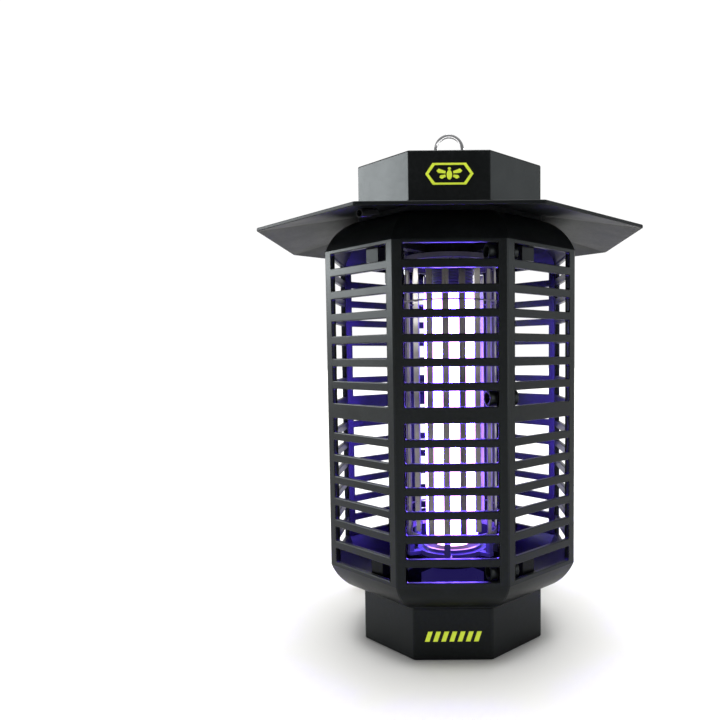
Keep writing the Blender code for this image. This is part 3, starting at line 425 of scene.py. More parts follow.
def metal(name, color, roughness, stretch=(1.0, 1.0, 1.0), scale=260.0, depth=0.00001, tarnish=0.25):
    """Metal with drawing marks along one axis and faint tarnish."""
    made, look = new_material(name)
    mapping = look.feed(look.nodes.new("ShaderNodeMapping"),
                        {"Scale": stretch, "Vector": look.place.outputs["Object"]})
    marks = look.noise(scale, 5.0, 0.65, mapping.outputs["Vector"])
    stains = look.noise(55.0, 4.0, 0.6)
    dull = tuple(channel * (1.0 - tarnish) for channel in color)
    look.finish({"Base Color": look.mixed(look.ranged(stains, 0.0, 1.0), color, dull),
                 "Roughness": look.ranged(marks, roughness - 0.06, roughness + 0.08),
                 "Normal": look.bump(marks, 0.5, depth), "Metallic": 1.0})
    return made


def with_painted_glow(made, color, strength):
    """Let a material also give off a faint light of its own; on parts that are no lamp this is painted light.
    """
    shader = made.node_tree.nodes["Principled BSDF"]
    shader.inputs["Emission Color"].default_value = (*color, 1.0)
    shader.inputs["Emission Strength"].default_value = strength
    return made


def lamp_material():
    """Lit ultraviolet tube: violet light that turns pinker and dimmer towards the rounded foot."""
    made, look = new_material("lamp_glow")
    low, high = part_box("lamp_tube")
    height = look.component("Z")
    foot = look.ranged(height, 1.0, 0.0, low.z - 0.0002, low.z + 0.0085)
    top = look.ranged(height, 1.0, 0.25, high.z - 0.0140, high.z - 0.0010)
    powder = look.noise(300.0, 3.0, 0.6)
    glow = look.maths("MULTIPLY", look.ranged(powder, LAMP_STRENGTH * 0.94, LAMP_STRENGTH * 1.06), top)
    dimmed = look.maths("MULTIPLY", glow, look.ranged(foot, 1.0, 0.012, 0.0, 0.93))
    pink = look.ranged(foot, 0.0, 1.0, 0.45, 0.90)
    look.finish({"Emission Color": look.mixed(pink, (0.13, 0.06, 1.0), (1.0, 0.44, 0.70)),
                 "Emission Strength": dimmed, "Base Color": (0.75, 0.72, 0.85, 1.0), "Roughness": 0.12,
                 "Coat Weight": 0.5, "Normal": look.bump(powder, 0.2, 0.00002)})
    return made


def make_materials():
    """Every material; the lime ink is fluorescent and its glow is also painted light for faces in shade, and
    the milky holder's violet glow is painted light from the tube within.
    """
    black = (0.0034, 0.0040, 0.0043)
    dusty = (0.010, 0.011, 0.012)
    return {
        "black": moulded("black_plastic_satin", black, dusty, 0.34, gloss_level=0.165),
        "brim": moulded("black_plastic_brim", black, dusty, 0.50, gloss_level=0.10),
        "gloss": moulded("black_plastic_polished", (0.006, 0.006, 0.007), (0.014, 0.014, 0.015), 0.17,
                         grain_depth=0.000006, gloss_level=0.08),
        "dark": moulded("lamp_base_grey", (0.030, 0.030, 0.033), (0.045, 0.044, 0.044), 0.40,
                        gloss_level=0.4),
        "insulator": moulded("insulator_grey", (0.070, 0.063, 0.095), (0.052, 0.048, 0.075), 0.42, 1600.0),
        # The holder's violet glow is painted light, standing in for the tube's light shining through it.
        "holder": with_painted_glow(moulded("lamp_holder_painted_glow", (0.040, 0.040, 0.070), (0.030, 0.030, 0.055), 0.30,
                                  1600.0), (0.16, 0.11, 1.0), 0.075),
        "steel": metal("grid_steel", (0.22, 0.205, 0.19), 0.30, (1.0, 1.0, 0.04), 900.0),
        "zinc": metal("zinc_plate", (0.55, 0.56, 0.58), 0.28, scale=700.0, tarnish=0.35),
        "chrome": metal("polished_chrome", (0.80, 0.80, 0.82), 0.10, scale=350.0, depth=0.000003,
                        tarnish=0.08),
        "brass": metal("stamped_brass", (0.78, 0.60, 0.30), 0.26, scale=600.0),
        "rubber": moulded("cable_sheath", (0.013, 0.013, 0.014), (0.05, 0.048, 0.045), 0.56, 1800.0,
                          0.00003, 0.4),
        # The lime print's glow is partly the fluorescent ink and partly painted light that keeps it bright on
        # faces left in shade.
        "lime": with_painted_glow(moulded("printed_lime", LIME, (0.52, 0.64, 0.034), 0.40, 1500.0, 0.00001),
                        LIME, 0.30),
        "board": moulded("solder_mask", (0.02, 0.17, 0.06), (0.03, 0.22, 0.08), 0.36, 1400.0),
        "ferrite": moulded("ferrite_core", (0.040, 0.040, 0.042), (0.08, 0.08, 0.08), 0.66, 900.0),
        "film": moulded("dipped_resin", (0.38, 0.05, 0.03), (0.45, 0.08, 0.05), 0.30, 500.0, 0.00005),
        "sleeve": moulded("printed_sleeve", (0.03, 0.05, 0.18), (0.05, 0.07, 0.22), 0.30, 900.0),
        "copper": metal("enamelled_winding", (0.72, 0.34, 0.18), 0.30, (1.0, 1.0, 30.0), 120.0, 0.00005),
        "lamp": lamp_material(),
    }


# -------- cage
def slot_levels():
    """Bottom and top of every slot, from the highest down."""
    tops = [group - row * SLOT_PITCH for group in SLOT_GROUP_TOPS for row in range(SLOTS_PER_GROUP)]
    return [(top - SLOT_HEIGHT, top) for top in tops]


def shoulder_arc(start, end, bulge=SHOULDER_BULGE, steps=ARC_STEPS):
    """Arc of (radius, z) points between two points, bulging away from the chord's middle."""
    chord = Vector((end[0] - start[0], end[1] - start[1]))
    middle = Vector((start[0] + end[0], start[1] + end[1])) / 2
    outward = Vector((chord.y, -chord.x)).normalized()
    arc_radius = (chord.length / 2) ** 2 / (2 * bulge) + bulge / 2
    centre = middle - outward * (arc_radius - bulge)
    half = math.asin(chord.length / 2 / arc_radius)
    points = []
    for step in range(steps + 1):
        angle = -half + 2 * half * step / steps
        spoke = outward * math.cos(angle) + chord.normalized() * math.sin(angle)
        point = centre + spoke * arc_radius
        points.append((point.x, point.y))
    return points


def post_edge(radius):
    """How far from a panel's middle its posts begin."""
    return (1.0 - 2 * POST_SHARE) * radius * math.sin(math.radians(CORNER))


def shell_section(radius, z, first_side, chamfer):
    """Points of one level of a half shell: five at each corner and two posts' edges on each side."""
    points = []
    for step in range(5):
        turn = CORNER + SIDE_ANGLE * (first_side + step)
        around = corner_points(radius, turn, z, chamfer)
        if step == 0:
            around = around[2:]
        if step == 4:
            around = around[:3]
        points += around
        if step < 4:
            facing = turn + SIDE_ANGLE / 2
            middle = polar(radius * ALONG_CORNER, facing, z)
            along = polar(1.0, facing + 90.0)
            points += [middle - along * post_edge(radius), middle + along * post_edge(radius)]
    return points


def slot_loop(low, high, inset):
    """Rounded slot outline in a panel's own (across, up) plane, grown by an inset; 20 points."""
    half_width = (high[0] - low[0]) / 2 + inset
    half_height = (high[1] - low[1]) / 2 + inset
    middle = Vector(((low[0] + high[0]) / 2, (low[1] + high[1]) / 2))
    radius = SLOT_CORNER + inset
    points = []
    for quarter in range(4):
        sign_x = 1 if quarter in (0, 3) else -1
        sign_y = 1 if quarter in (0, 1) else -1
        centre = middle + Vector((sign_x * (half_width - radius), sign_y * (half_height - radius)))
        for step in range(5):
            angle = math.radians(90.0 * quarter + 22.5 * step)
            points.append(centre + Vector((math.cos(angle), math.sin(angle))) * radius)
    return points


def cut_slot(shape, facing, outside, inside, low, high):
    """Fill a panel's cell, on both skins, around one slot, and line the slot."""
    along = polar(1.0, facing + 90.0)
    normal = polar(1.0, facing)
    face = BODY_RADIUS * ALONG_CORNER
    edge = SLOT_EDGE
    layers = ((0.0, edge), (edge * 0.3, edge * 0.3), (edge, 0.0),
              (WALL - edge, 0.0), (WALL - edge * 0.3, edge * 0.3), (WALL, edge))
    rings = []
    for depth, inset in layers:
        rings.append(ring_of(shape, [normal * (face - depth) + along * spot.x + Vector((0.0, 0.0, spot.y))
                                     for spot in slot_loop(low, high, inset)]))
    skin(shape, rings)
    for cell, ring in ((outside, rings[0]), (inside, rings[-1])):
        for quarter in range(4):
            start = 5 * quarter + 2
            run = [ring[(start + step) % 20] for step in range(6)]
            shape.faces.new([cell[quarter], *run, cell[(quarter + 1) % 4]])


def shell_profiles():
    """Matching outer and inner (radius, z) levels of the cage, and which rows hold slots."""
    neck = NECK_RADIUS - WALL / ALONG_CORNER
    body = BODY_RADIUS - WALL / ALONG_CORNER
    rises = []
    for low, high in sorted(slot_levels()):
        rises += [low - SLOT_LAND, high + SLOT_LAND]
    outer = [(NECK_RADIUS, SHELL_LOW)]
    outer += shoulder_arc((NECK_RADIUS, SHELL_LOW + LIP_OUTER_LOW), (BODY_RADIUS, CAGE_LOW))
    inner = [(neck, SHELL_LOW)]
    inner += shoulder_arc((neck, SHELL_LOW + LIP_INNER_LOW), (body, CAGE_LOW + INNER_STEP))
    first = len(outer)
    outer += [(BODY_RADIUS, z) for z in rises]
    inner += [(body, z) for z in rises]
    outer += shoulder_arc((BODY_RADIUS, CAGE_HIGH), (NECK_RADIUS, SHELL_HIGH - LIP_OUTER_HIGH))
    inner += shoulder_arc((body, CAGE_HIGH - INNER_STEP), (neck, SHELL_HIGH - LIP_INNER_HIGH))
    outer.append((NECK_RADIUS, SHELL_HIGH))
    inner.append((neck, SHELL_HIGH))
    slotted = range(first, first + len(rises), 2)
    return outer, inner, slotted


def make_half_shell(name, first_side, away, material, nodes):
    """Half of the cage: shoulders, posts and slotted panels in one moulding."""
    outer, inner, slotted = shell_profiles()
    shape = bmesh.new()
    outside = [ring_of(shape, shell_section(r, z, first_side, CORNER_CHAMFER)) for r, z in outer]
    inside = [ring_of(shape, shell_section(r, z, first_side, INNER_CHAMFER)) for r, z in inner]
    columns = len(outside[0])
    post_edges = {3 + 7 * side: side for side in range(4)}
    reach = post_edge(BODY_RADIUS) - SLOT_MARGIN
    levels = sorted(slot_levels())
    for row in range(len(outer) - 1):
        for column in range(columns - 1):
            if row in slotted and column in post_edges:
                facing = CORNER + SIDE_ANGLE * (first_side + post_edges[column]) + SIDE_ANGLE / 2
                low, high = levels[(row - slotted.start) // 2]
                cells = []
                for grid in (outside, inside):
                    cells.append((grid[row + 1][column + 1], grid[row + 1][column],
                                  grid[row][column], grid[row][column + 1]))
                cut_slot(shape, facing, *cells, (-reach, low), (reach, high))
                continue
            for grid in (outside, inside):
                shape.faces.new((grid[row][column], grid[row][column + 1],
                                 grid[row + 1][column + 1], grid[row + 1][column]))
    for end in (0, -1):
        bridge(shape, outside[end], inside[end])
        bridge(shape, [row[end] for row in outside], [row[end] for row in inside])
    bmesh.ops.translate(shape, verts=shape.verts, vec=away * SEAM_GAP / 2)
    return piece(name, shape, material, replaced=nodes, sharp=15.0)


def boss_centres():
    levels = slot_levels()
    return [polar(BOSS_REACH, SEAM_NORMAL + side, sum(levels[row]) / 2)
            for side in (-90.0, 90.0) for row in BOSS_ROWS]


def make_bosses(black):
    """Screw bosses of both halves; those of the left half are open for the screw heads."""
    normal = polar(1.0, SEAM_NORMAL)
    edge = 0.0005
    for index, centre in enumerate(boss_centres(), start=1):
        right = rounded_profile(
            [(PILOT_RADIUS, GAP), (BOSS_RADIUS, GAP), (BOSS_RADIUS, BOSS_LENGTH), (0.0, BOSS_LENGTH)],
            [0.0, 0.0, edge, 0.0], closed=False)
        right = [(0.0, PILOT_DEPTH), (PILOT_RADIUS, PILOT_DEPTH), *right]
        turned(f"cage_boss_right_{index}", right, black, steps=32, place=aim(centre, normal))
        left = rounded_profile(
            [(PILOT_RADIUS, GAP), (BOSS_RADIUS, GAP), (BOSS_RADIUS, BOSS_LENGTH),
             (HEAD_POCKET_RADIUS, BOSS_LENGTH), (HEAD_POCKET_RADIUS, HEAD_SEAT), (PILOT_RADIUS, HEAD_SEAT)],
            [0.0, 0.0, edge, edge * 0.6, 0.0, 0.0])
        turned(f"cage_boss_left_{index}", left, black, steps=32, place=aim(centre, -normal), closed=True)


def make_screw(name, seat, direction, steel, node):
    """Pan-head screw with a domed head, a cross recess and a threaded shank."""
    head, rim, dome = 0.0028, 0.0008, 0.0012
    crest, root, length, tip = 0.0014, 0.00112, 0.0105, 0.0016
    turns = 12
    steps = 24
    profile = [(0.0004, length), (root, length - tip)]
    for turn in reversed(range(turns)):
        z = rim + (length - rim - tip) * turn / turns
        profile += [(crest, z + 0.00028), (root, z)]
    profile += [(crest, 0.0), (head, 0.0)]
    for angle in map(math.radians, (0, 25, 50, 70)):
        profile.append((head * math.cos(angle), -rim - dome * math.sin(angle)))
    shape = bmesh.new()
    rings = [ring_of(shape, circle_points(r, z, steps)) for r, z in reversed(profile)]
    skin(shape, rings)
    shape.faces.new(rings[-1])
    # The cross recess: the head's flat top is split into a cross-shaped floor and four lands.
    reach = head * 0.42
    half = head * 0.12
    outline = []
    for arm in range(4):
        turn = Matrix.Rotation(math.radians(90.0 * arm), 3, "Z")
        for along, across in ((half, -half), (reach, -half), (reach, half)):
            outline.append(turn @ Vector((along, across, 0.0)))
    top = profile[-1][1]
    floor = -0.0011
    mouth = ring_of(shape, [Vector((spot.x, spot.y, top)) for spot in outline])
    bottom = ring_of(shape, [Vector((spot.x * 0.8, spot.y * 0.8, floor)) for spot in outline])
    skin(shape, [mouth, bottom])
    shape.faces.new(bottom)
    edges = []
    for loop in (rings[0], mouth):
        edges += [shape.edges.get(pair) or shape.edges.new(pair) for pair in zip(loop, loop[1:] + loop[:1])]
    bmesh.ops.triangle_fill(shape, edges=edges, use_beauty=True)
    bmesh.ops.transform(shape, matrix=aim(seat, direction), verts=shape.verts)
    return piece(name, shape, steel, replaced=(node,), slot="screw_steel")


def make_cage(mats):
    normal = polar(1.0, SEAM_NORMAL)
    left = ["grille_back_left", "grille_left", "grille_front_left", "grille_front",
            "shoulder_lower_left", "shoulder_upper_left"]
    right = ["grille_right", "grille_back_right", "grille_back", "grille_front_right",
             "shoulder_lower_right", "shoulder_upper_right"]
    make_half_shell("cage_half_right", -2, normal, mats["black"], right)
    make_half_shell("cage_half_left", 2, -normal, mats["black"], left)
    make_bosses(mats["black"])
    for index, centre in enumerate(boss_centres(), start=1):
        seat = centre - normal * (HEAD_SEAT + GAP)
        make_screw(f"cage_screw_{index}_piece", seat, normal, mats["zinc"], f"cage_screw_{index}")


# -------- brim, cap and hanger
def octagonal(name, profile, material, chamfer=CORNER_CHAMFER, **kwargs):
    """Octagonal shell around a closed loop of (circumradius, z) pairs."""
    levels = [octagon_points(radius, z, min(chamfer, radius * 0.05)) for radius, z in profile]
    return lofted(name, levels, material, closed=True, **kwargs)


def make_brim(black):
    """Sloping brim with a rounded rim and a flat deck under the cap."""
    profile = rounded_profile(
        [(BRIM_RADIUS, BRIM_EDGE_LOW), (NECK_RADIUS, DECK_LOW), (DECK_HOLE, DECK_LOW),
         (DECK_HOLE, DECK_HIGH), (NECK_RADIUS, DECK_HIGH), (BRIM_RADIUS, BRIM_EDGE_HIGH)],
        [0.0007, 0.0, 0.0, 0.0, 0.0, 0.0007])
    octagonal("brim_piece", profile, black, replaced=("brim",), sharp=14.0)


def make_cap(black):
    """Octagonal cap with a rounded top edge, open underneath."""
    inner = CAP_RADIUS - CAP_WALL / ALONG_CORNER
    ceiling = CAP_HIGH - CAP_WALL
    stud = 0.0024                   # hole for the hanging eye's stud
    profile = rounded_profile(
        [(stud, CAP_HIGH), (stud, ceiling), (inner, ceiling), (inner, CAP_LOW),
         (CAP_RADIUS, CAP_LOW), (CAP_RADIUS, CAP_HIGH)],
        [0.0, 0.0, 0.0004, 0.0, 0.0005, 0.0012])
    octagonal("cap_piece", profile, black, chamfer=0.0006, replaced=("cap",))


def make_split_ring(chrome):
    """Hanging ring: two turns of flattened wire side by side, with a step where they cross over."""
    shape = bmesh.new()
    middle = Vector((0.0, 0.0, EYE_HOLE_Z + RING_MEAN_RADIUS))
    wire_end = 250.0                # where on the ring the wire starts and ends
    crossing, crossing_length = 330.0, 60.0
    steps = 72
    spokes = 12
    rings = []
    for step in range(2 * steps + 1):
        turn = 360.0 * step / steps
        angle = math.radians(turn + wire_end)
        out = Vector((math.sin(angle), 0.0, -math.cos(angle)))
        side = (ease((turn - crossing) / crossing_length) - 0.5) * RING_WIRE_RADIUS
        taper = min(1.0, 0.35 + min(turn, 720.0 - turn) / 12.0) * RING_WIRE_RADIUS
        section = []
        for spoke in range(spokes):
            across, sideways = squarish(2 * math.pi * spoke / spokes, 0.75)
            section.append(middle + out * (RING_MEAN_RADIUS + across * 0.96 * taper)
                           + Vector((0.0, side + sideways * 0.47 * taper, 0.0)))
        rings.append(ring_of(shape, section))
    capped_skin(shape, rings)
    piece("split_ring", shape, chrome, body="hanger", replaced=("hanger_ring",), slot="chrome")


# -------- tray
def make_tray(black):
    """Catch tray with a round spigot that turns in the cage's mouth."""
    inner = TRAY_RADIUS - TRAY_WALL / ALONG_CORNER
    lip = TRAY_HIGH - SPIGOT_LIP
    shape = bmesh.new()
    middle = 0.0300                 # the floor inside this radius is one flat face
    round_start = 0.0600            # the top turns from an octagon into the round spigot from here
    cove = 0.0012                   # slope between the inside wall and the floor
    edge, edge_height = 0.0004, 0.0005
    outline = rounded_profile(
        [(middle, 0.0), (TRAY_RADIUS, 0.0), (TRAY_RADIUS, TRAY_HIGH), (round_start, TRAY_HIGH)],
        [0.0, 0.0010, 0.0004, 0.0], closed=False)
    rings = [ring_of(shape, octagon_points(r, z)) for r, z in outline]
    for radius, z in ((SPIGOT_OUTER, TRAY_HIGH), (SPIGOT_OUTER, SPIGOT_HIGH - edge_height),
                      (SPIGOT_OUTER - edge, SPIGOT_HIGH), (SPIGOT_INNER + edge, SPIGOT_HIGH),
                      (SPIGOT_INNER, SPIGOT_HIGH - edge_height), (SPIGOT_INNER, lip)):
        points = []
        for corner in range(8):
            points += [polar(radius, CORNER + SIDE_ANGLE * corner + 9.0 * (step - 2), z) for step in range(5)]
        rings.append(ring_of(shape, points))
    for radius, z in ((inner, lip), (inner, TRAY_FLOOR + cove), (inner - cove, TRAY_FLOOR),
                      (middle, TRAY_FLOOR)):
        rings.append(ring_of(shape, octagon_points(radius, z)))
    capped_skin(shape, rings)
    piece("tray_piece", shape, black, body="tray", replaced=("tray",))


# -------- lamp
def make_lamp(mats):
    """Glowing tube with a rounded foot, and its ribbed collar."""
    low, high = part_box("lamp_tube")
    radius = high.x
    rounding = 0.0085
    flat = radius - rounding
    profile = [(0.0, low.z), (flat * 0.6, low.z), (flat, low.z)]
    for step in range(1, 13):
        angle = math.radians(90.0 * step / 12)
        profile.append((flat + rounding * math.sin(angle), low.z + rounding * (1 - math.cos(angle))))
    shoulder = 0.0030
    profile += fillet((radius, low.z), (radius, high.z), (0.0, high.z), shoulder, 6)
    profile.append((0.0, high.z))
    turned("lamp_glass_tube", profile, mats["lamp"], replaced=("lamp_tube",), slot="lamp_glass")
    low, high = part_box("lamp_collar")
    band = high.x
    top = low.z + 0.0117
    stem, stem_high = 0.0120, 0.2700
    contact = 0.0085
    groove_pitch, groove_depth = 0.0022, 0.0005
    ribs = [(0.0, low.z), (band - 0.0008, low.z), (band, low.z + 0.0008)]
    for groove in range(1, 5):
        z = low.z + groove_pitch * groove
        ribs += [(band, z), (band - groove_depth, z + 0.0004), (band - groove_depth, z + 0.0008),
                 (band, z + 0.0012)]
    ribs += [(band, top - 0.0004), (band - 0.0004, top), (stem, top), (stem, stem_high),
             (contact, high.z), (0.0, high.z)]
    turned("lamp_collar_piece", ribs, mats["dark"], replaced=("lamp_collar",), slot="gloss_black_plastic")


# -------- marks
def flat_mark(name, outlines, face_y, thickness, material, node, body):
    """Raised mark on a face that looks to -Y, from closed (x, z) outlines with optional holes."""
    curve = poly_curve(name, [[(x, z, 0.0) for x, z in outline] for outline in outlines], "2D", material)
    curve.fill_mode = "BOTH"
    edge = 0.00006
    curve.extrude = thickness / 2 - edge
    curve.bevel_depth = edge
    curve.offset = -edge
    for spline in curve.splines:
        spline.use_cyclic_u = True
    made = bpy.data.objects.new(name, curve)
    upright = Matrix.Rotation(math.pi / 2, 4, "X")
    made.matrix_world = Matrix.Translation((0.0, face_y - thickness / 2, 0.0)) @ upright
    place_piece(made, body, (node,))


def hexagon(half_wide, half_high, point, z):
    return [(point - half_wide, z + half_high), (half_wide - point, z + half_high), (half_wide, z),
            (half_wide - point, z - half_high), (point - half_wide, z - half_high), (-half_wide, z)]


def oval(x, z, half_wide, half_high, steps):
    angles = [2 * math.pi * step / steps for step in range(steps)]
    return [(x + half_wide * math.cos(angle), z + half_high * math.sin(angle)) for angle in angles]


# The printed insect's wings, as (across, up) from the middle of its frame.
UPPER_WING = ((0.0023, 0.0016), (0.0066, 0.0032), (0.0080, 0.0018), (0.0068, 0.0006), (0.0025, 0.0002))
LOWER_WING = ((0.0025, -0.0005), (0.0056, -0.0009), (0.0062, -0.0022), (0.0046, -0.0031), (0.0022, -0.0018))


def make_cap_mark(lime):
    """A plain insect in a pointed frame."""
    low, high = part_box("cap_emblem")
    z = (low.z + high.z) / 2
    wide = high.x - 0.0001
    tall = (high.z - low.z) / 2 - 0.0001
    point = 0.0046
    line = 0.0012
    marks = [hexagon(wide, tall, point, z), hexagon(wide - line * 1.7, tall - line, point - line * 0.5, z)]
    marks += [oval(0.0, z - 0.0006, 0.0017, 0.0029, 28), oval(0.0, z + 0.0032, 0.0010, 0.0008, 20)]
    for side in (-1, 1):
        for wing in (UPPER_WING, LOWER_WING):
            marks.append([(side * across, z + up) for across, up in wing])
    flat_mark("cap_mark", marks, high.y, high.y - low.y, lime, "cap_emblem", "zapper")


def make_base_mark(lime):
    """A row of slanted bars."""
    low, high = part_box("base_emblem")
    middle = (high.z + low.z) / 2
    half = (high.z - low.z) / 2 - 0.0001
    lean = 0.0011
    bar = 0.0030
    count = 7
    first = low.x + lean + bar / 2 + 0.0001
    pitch = (high.x - low.x - 2 * lean - bar - 0.0002) / (count - 1)
    bars = []
    for index in range(count):
        left = first + pitch * index - bar / 2
        right = left + bar
        bars.append([(left - lean, middle - half), (right - lean, middle - half),
                     (right + lean, middle + half), (left + lean, middle + half)])
    flat_mark("base_mark", bars, high.y, high.y - low.y, lime, "base_emblem", "tray")


# -------- mains cord
def gland_direction():
    tilt = math.radians(GLAND_TILT)
    return Vector((0.0, math.cos(tilt), -math.sin(tilt)))


def clear_of_coil(turn):
    """X at which a cord that is tangent to one of the coil's turns is outside them all."""
    outside = COIL_OUTER_TURN + CORD_RADIUS
    return COIL_CENTRE.x - math.sqrt(outside ** 2 - (turn - CORD_RADIUS) ** 2) - 2 * GAP


def drop_points():
    """Out of the strain relief, down behind the cage, and along the floor to the coil."""
    direction = gland_direction()
    start = GLAND_START + direction * (GLAND_LENGTH + GAP)
    straight, fall = 0.008, 0.0290
    points = [start, start + direction * straight]
    turn_centre = Vector((0.0, CORD_DROP_Y - CORD_BEND, start.z - fall))
    for degrees in (60.0, 40.0, 20.0, 0.0):
        angle = math.radians(degrees)
        points.append(turn_centre + CORD_BEND * Vector((0.0, math.cos(angle), math.sin(angle))))
    for z in (0.2000, 0.1600, 0.1200, 0.0800, 0.0500):
        points.append(Vector((0.0, CORD_DROP_Y, z)))
    floor_centre = Vector((FLOOR_BEND, CORD_DROP_Y, CORD_RADIUS + FLOOR_BEND))
    for degrees in (180.0, 207.5, 235.0, 262.5):
        angle = math.radians(degrees)
        points.append(floor_centre + FLOOR_BEND * Vector((math.cos(angle), 0.0, math.sin(angle))))
    points.append(Vector((clear_of_coil(COIL_OUTER_TURN), CORD_DROP_Y, CORD_RADIUS)))
    return points


def turns_done(turned_by, first):
    """How many turn-to-turn steps are complete; each turn is round at first and then steps over."""
    whole = math.floor((turned_by - first) / 360.0)
    return whole + ease((turned_by - first - 360.0 * whole - COIL_CLIMB) / (360.0 - COIL_CLIMB))


def coil_points():
    """Five and a half turns: inwards on the floor, outwards over them, and a last turn on top."""
    innermost, outermost, end = 900.0, 1620.0, 1980.0
    step = 7.5
    points = []
    for index in range(round(end / step) + 1):
        turned_by = step * index
        if turned_by <= innermost:
            radius = COIL_INNER_TURN + COIL_PITCH * (3.0 - turns_done(turned_by, innermost - 1080.0))
        elif turned_by <= outermost:
            radius = COIL_INNER_TURN + COIL_PITCH * turns_done(turned_by, innermost)
        else:
            radius = COIL_TOP_TURN
        rise = ease((turned_by - innermost) / COIL_CLIMB) + ease((turned_by - outermost) / COIL_CLIMB)
        points.append(COIL_CENTRE + polar(radius, 90.0 - turned_by, CORD_RADIUS + COIL_PITCH * rise))
    return points


def tail_points():
    """From the top turn to the plug's neck."""
    leave = Vector((clear_of_coil(COIL_TOP_TURN), COIL_CENTRE.y - COIL_TOP_TURN,
                    CORD_RADIUS + 2 * COIL_PITCH))
    return [
        leave,
        leave + Vector((-0.0080, 0.0003, -0.0006)),
        leave + Vector((-0.0180, 0.0024, -0.0022)),
        leave + Vector((-0.0280, 0.0060, -0.0044)),
        Vector((PLUG_NECK_X + 0.0080, PLUG_Y - 0.0007, PLUG_Z + 0.0004)),
        Vector((PLUG_NECK_X, PLUG_Y, PLUG_Z)),
    ]


def smoothed(points, steps):
    """Catmull-Rom curve through the points."""
    padded = [points[0] * 2 - points[1], *points, points[-1] * 2 - points[-2]]
    made = []
    for before, start, end, after in zip(padded, padded[1:], padded[2:], padded[3:]):
        for step in range(steps):
            share = step / steps
            made.append(0.5 * (2 * start + (end - before) * share
                               + (2 * before - 5 * start + 4 * end - after) * share ** 2
                               + (3 * start - before - 3 * end + after) * share ** 3))
    made.append(points[-1])
    return made


def plug_stations():
    """Levels of the plug from its neck on: how far along, half its width and half its height."""
    stations = [(0.0, 0.0034, 0.0034)]
    for rib in range(5):
        start = 0.0004 + 0.0026 * rib
        swell = 0.0003 * rib
        for along, wide, high in ((0.0, 0.0044, 0.0043), (0.0012, 0.0046, 0.0045),
                                  (0.0015, 0.0038, 0.0037), (0.0023, 0.0038, 0.0037)):
            stations.append((start + along, wide + swell, high + swell * 0.8))
    neck = 0.0140
    stations += [(neck, 0.0064, 0.0058), (neck + 0.0020, 0.0090, 0.0070), (neck + 0.0045, 0.0108, 0.0077)]
    for groove in range(4):
        start = neck + 0.0065 + 0.0028 * groove
        stations += [(start, 0.0116, 0.0080), (start + 0.0004, 0.0109, 0.0078),
                     (start + 0.0011, 0.0109, 0.0078), (start + 0.0015, 0.0116, 0.0081)]
    end = neck + 0.0250
    stations += [(end - 0.0035, 0.0121, 0.0082), (end - 0.0008, 0.0121, 0.0081), (end, 0.0113, 0.0073)]
    return stations


def make_plug(mats):
    """Moulded two-blade plug with a ribbed neck and finger grips."""
    shape = bmesh.new()
    steps = 32
    rings = []
    for along, half_width, half_height in plug_stations():
        level = []
        for step in range(steps):
            across, upward = squarish(2 * math.pi * step / steps, 0.7)
            level.append(Vector((PLUG_NECK_X - GAP - along, PLUG_Y + half_width * across,
                                 PLUG_Z + half_height * upward)))
        rings.append(ring_of(shape, level))
    capped_skin(shape, rings)
    plug = piece("plug", shape, mats["rubber"], replaced=("plug_body",), slot="cord_rubber", sharp=40.0)
    return [plug, make_blade(1, mats["brass"]), make_blade(2, mats["brass"])]


def make_blade(index, brass):
    """Flat blade with a bevelled tip and the usual hole near it."""
    low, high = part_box(f"plug_blade_{index}")
    middle = (low + high) / 2
    shape = bmesh.new()
    bmesh.ops.create_cube(shape, size=1.0,
                          matrix=Matrix.Translation(middle) @ Matrix.Diagonal((*(high - low), 1.0)))
    tip = [edge for edge in shape.edges if all(vert.co.x < low.x + 1e-5 for vert in edge.verts)]
    bmesh.ops.bevel(shape, geom=tip, offset=0.0005, segments=2, affect="EDGES")
    hole = bmesh.new()
    hole_radius = 0.0016
    centre = Vector((low.x + 0.0035, middle.y, middle.z))
    bmesh.ops.create_cone(hole, cap_ends=True, segments=24, radius1=hole_radius, radius2=hole_radius,
                          depth=0.004, matrix=aim(centre, Vector((0.0, 1.0, 0.0))))
    blade = piece(f"plug_blade_{index}_piece", shape, brass, replaced=(f"plug_blade_{index}",),
                  slot="brass", weighted=False)
    cut_with(blade, hole)
    return blade


def cut_with(target, shape):
    """Cut a bmesh out of a piece, for good."""
    mesh = bpy.data.meshes.new("cutter")
    shape.to_mesh(mesh)
    shape.free()
    cutter = linked(bpy.data.objects.new("cutter", mesh))
    step = target.modifiers.new("cut", "BOOLEAN")
    step.solver = "EXACT"
    step.object = cutter
    bpy.context.view_layer.update()
    graph = bpy.context.evaluated_depsgraph_get()
    result = bpy.data.meshes.new_from_object(target.evaluated_get(graph))
    target.modifiers.remove(step)
    target.data = result
    bpy.data.objects.remove(cutter, do_unlink=True)


def make_strain_relief(material):
    """Tapered, slotted sleeve that holds the cord where it leaves the cage."""
    start = GLAND_BOSS_LENGTH + GAP
    profile = [(0.0032, -0.0020), (0.0042, -0.0020), (0.0042, start), (0.0064, start),
               (0.0068, start + 0.0004), (0.0068, start + 0.0026), (0.0064, start + 0.0030)]
    ribs = 6
    for rib in range(ribs):
        share = rib / ribs
        z = start + 0.0036 + (GLAND_LENGTH - start - 0.0046) * share
        radius = 0.0055 - 0.0013 * share
        profile += [(radius - 0.0009, z), (radius, z + 0.0003), (radius - 0.0001, z + 0.0020),
                    (radius - 0.0009, z + 0.0023)]
    profile += [(0.0040, GLAND_LENGTH - 0.0012), (0.0039, GLAND_LENGTH), (0.0032, GLAND_LENGTH)]
    turned("strain_relief_piece", profile, material, steps=32, place=aim(GLAND_START, gland_direction()),
           closed=True, replaced=("strain_relief",), slot="cord_rubber")


